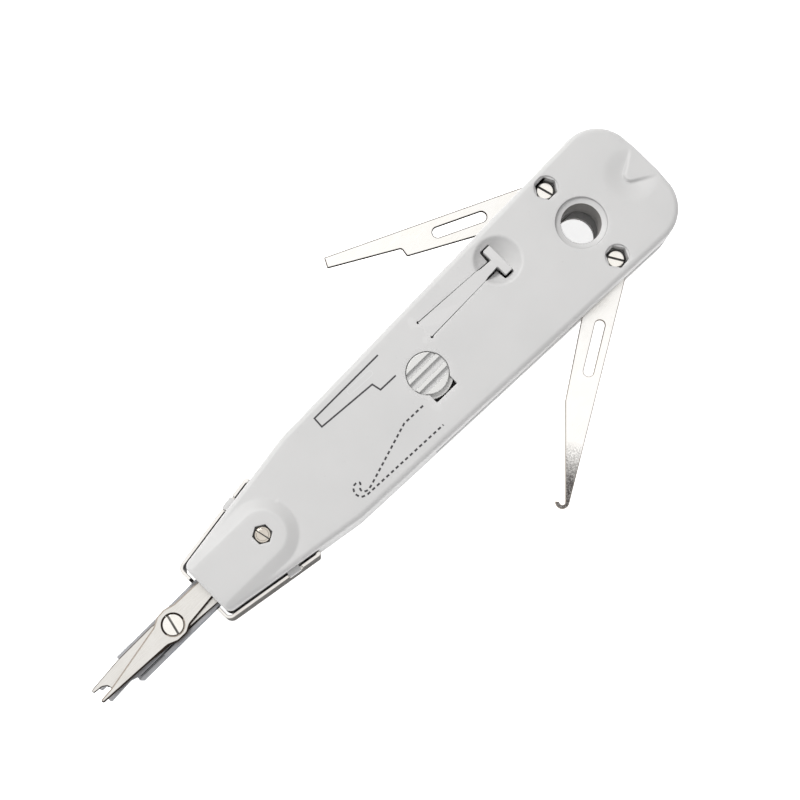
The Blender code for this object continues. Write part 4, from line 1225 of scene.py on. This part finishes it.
def spline_through(points, per=6):
    """Catmull-Rom curve through points."""
    pts = [Vector(p) for p in points]
    pts = [2 * pts[0] - pts[1]] + pts + [2 * pts[-1] - pts[-2]]
    out = []
    for a, b, c, d in zip(pts, pts[1:], pts[2:], pts[3:]):
        bend, twist = 2 * a - 5 * b + 4 * c - d, 3 * b - a - 3 * c + d
        out += [0.5 * (2 * b + (c - a) * t + bend * t**2 + twist * t**3) for t in (k / per for k in range(per))]
    return out + [pts[-2]]


def make_prints():
    knife = [(-5.24, 11.13), (-26.15, 10.87), (-26.3, 8.26), (-11.02, 7.15), (-10.54, 4.9), (-5.64, 4.81)]
    make_print("knife_diagram", [knife], 0.4)
    upper = [(-6.13, -4.65), (-12.18, -4.54), (-14.3, -5.2), (-27.54, -9.38)]
    curl = [(-27.54, -9.38), (-29.0, -9.65), (-30.05, -9.1), (-30.15, -8.3), (-29.6, -7.8), (-29.15, -7.2),
            (-29.6, -6.7), (-30.5, -6.65), (-31.2, -7.1), (-31.7, -8.3), (-31.2, -9.7), (-29.7, -10.32)]
    hook = upper + spline_through(curl)[1:] + [(-5.89, -11.13)]
    make_print("hook_diagram", dashes(hook, 0.86, 0.62), 0.46)
    groove = stadium((-15.9, 9.6), (-9.6, 9.35), 0.62, 9)
    make_print("slot_diagram", [groove + groove[:1]], 0.16, 0.012, FAINT_INK)


# ---- setting


def dress_frame():
    """Gives the CAD pieces that stay, most of them inside the housing, their finished materials."""
    looks = [(name, SCREW) for name in ("cam_pin", "sear_pin")] + [("spring_seat", KNOB_PLASTIC)]
    looks += [(name, SATIN) for name in (
        "carriage_block", "plunger_rod", "hammer", "sear", "lock_slide", "knob_washer", "knife_washer",
        "hook_washer", "main_spring", "sear_spring", "sensor_spring",
    )]
    for name, material in looks:
        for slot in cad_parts[name].material_slots:
            slot.material = material


def make_floor():
    reach, count = 2400.0, 24
    line = np.linspace(-reach, reach, count)
    verts = [(x, y, 0.0) for y in line for x in line]
    starts = [j * count + i for j in range(count - 1) for i in range(count - 1)]
    faces = [(k, k + 1, k + count + 1, k + count) for k in starts]
    floor = mesh_of("floor", verts, faces, flip_out=False)
    nodes = Nodes("floor_pale")
    cloud = nodes.noise(nodes.plain, 0.01, 2.0)
    nodes.link(nodes.mix(cloud, (0.93, 0.93, 0.93), (0.95, 0.95, 0.95)), nodes.shader.inputs["Base Color"])
    nodes.fix(Roughness=0.85, Specular_IOR_Level=0.1, Emission_Color=(1.0, 1.0, 1.0, 1.0), Emission_Strength=0.75)
    floor.data.materials.append(nodes.material)


def add_light(name, place, target, size, power, colour):
    lamp = bpy.data.lights.new(name, "AREA")
    lamp.shape, lamp.size, lamp.energy, lamp.color = "DISK", size * MM, power, colour
    obj = new_object(name, lamp)
    obj.location = Vector(place) * MM
    obj.rotation_euler = (Vector(target) - Vector(place)).to_track_quat("-Z", "Y").to_euler()


def make_lights():
    scene = bpy.context.scene
    scene.view_settings.view_transform = "Standard"
    world = bpy.data.worlds.new("studio")
    world.use_nodes = True
    tree = world.node_tree
    back = tree.nodes["Background"]
    where = tree.nodes.new("ShaderNodeTexCoord")
    split = tree.nodes.new("ShaderNodeSeparateXYZ")
    level = tree.nodes.new("ShaderNodeMapRange")
    level.interpolation_type = "SMOOTHSTEP"
    for key, value in (("From Min", 0.66), ("From Max", 0.92), ("To Min", 0.36), ("To Max", 1.05)):
        level.inputs[key].default_value = value
    tree.links.new(where.outputs["Generated"], split.inputs[0])
    tree.links.new(split.outputs["Z"], level.inputs["Value"])
    tree.links.new(level.outputs["Result"], back.inputs["Strength"])
    back.inputs["Color"].default_value = (1.0, 0.998, 0.995, 1.0)
    scene.world = world
    add_light("key", (60.0, 560.0, 700.0), (-10.0, 0.0, 10.0), 330.0, 6.0, (1.0, 0.995, 0.985))
    add_light("fill", (-650.0, -160.0, 420.0), (-20.0, 0.0, 10.0), 500.0, 1.0, (0.985, 0.99, 1.0))


def make_camera():
    camera = bpy.data.cameras.new("camera")
    camera.lens = 105.7
    camera.sensor_width = 36.0
    camera.clip_start = 0.01
    obj = new_object("camera", camera)
    obj.location = Vector((-70.87, -42.30, 558.23)) * MM
    obj.rotation_euler = tuple(radians(a) for a in (7.771, -1.503, -44.737))
    bpy.context.scene.camera = obj


def main():
    make_camera()
    make_tabs(make_shells())
    make_catch("front_tongue", "front_latch", "knife_catch", True)
    make_catch("back_tongue", "back_latch", "hook_catch", False)
    steps = [make_knob, make_strap, make_fasteners, make_knife, make_hook, make_channel, make_foot]
    steps += [make_fixed_blade, make_moving_blade, make_sensor, make_prints, dress_frame, make_floor, make_lights]
    for step in steps:
        step()


main()
bpy.context.view_layer.update()
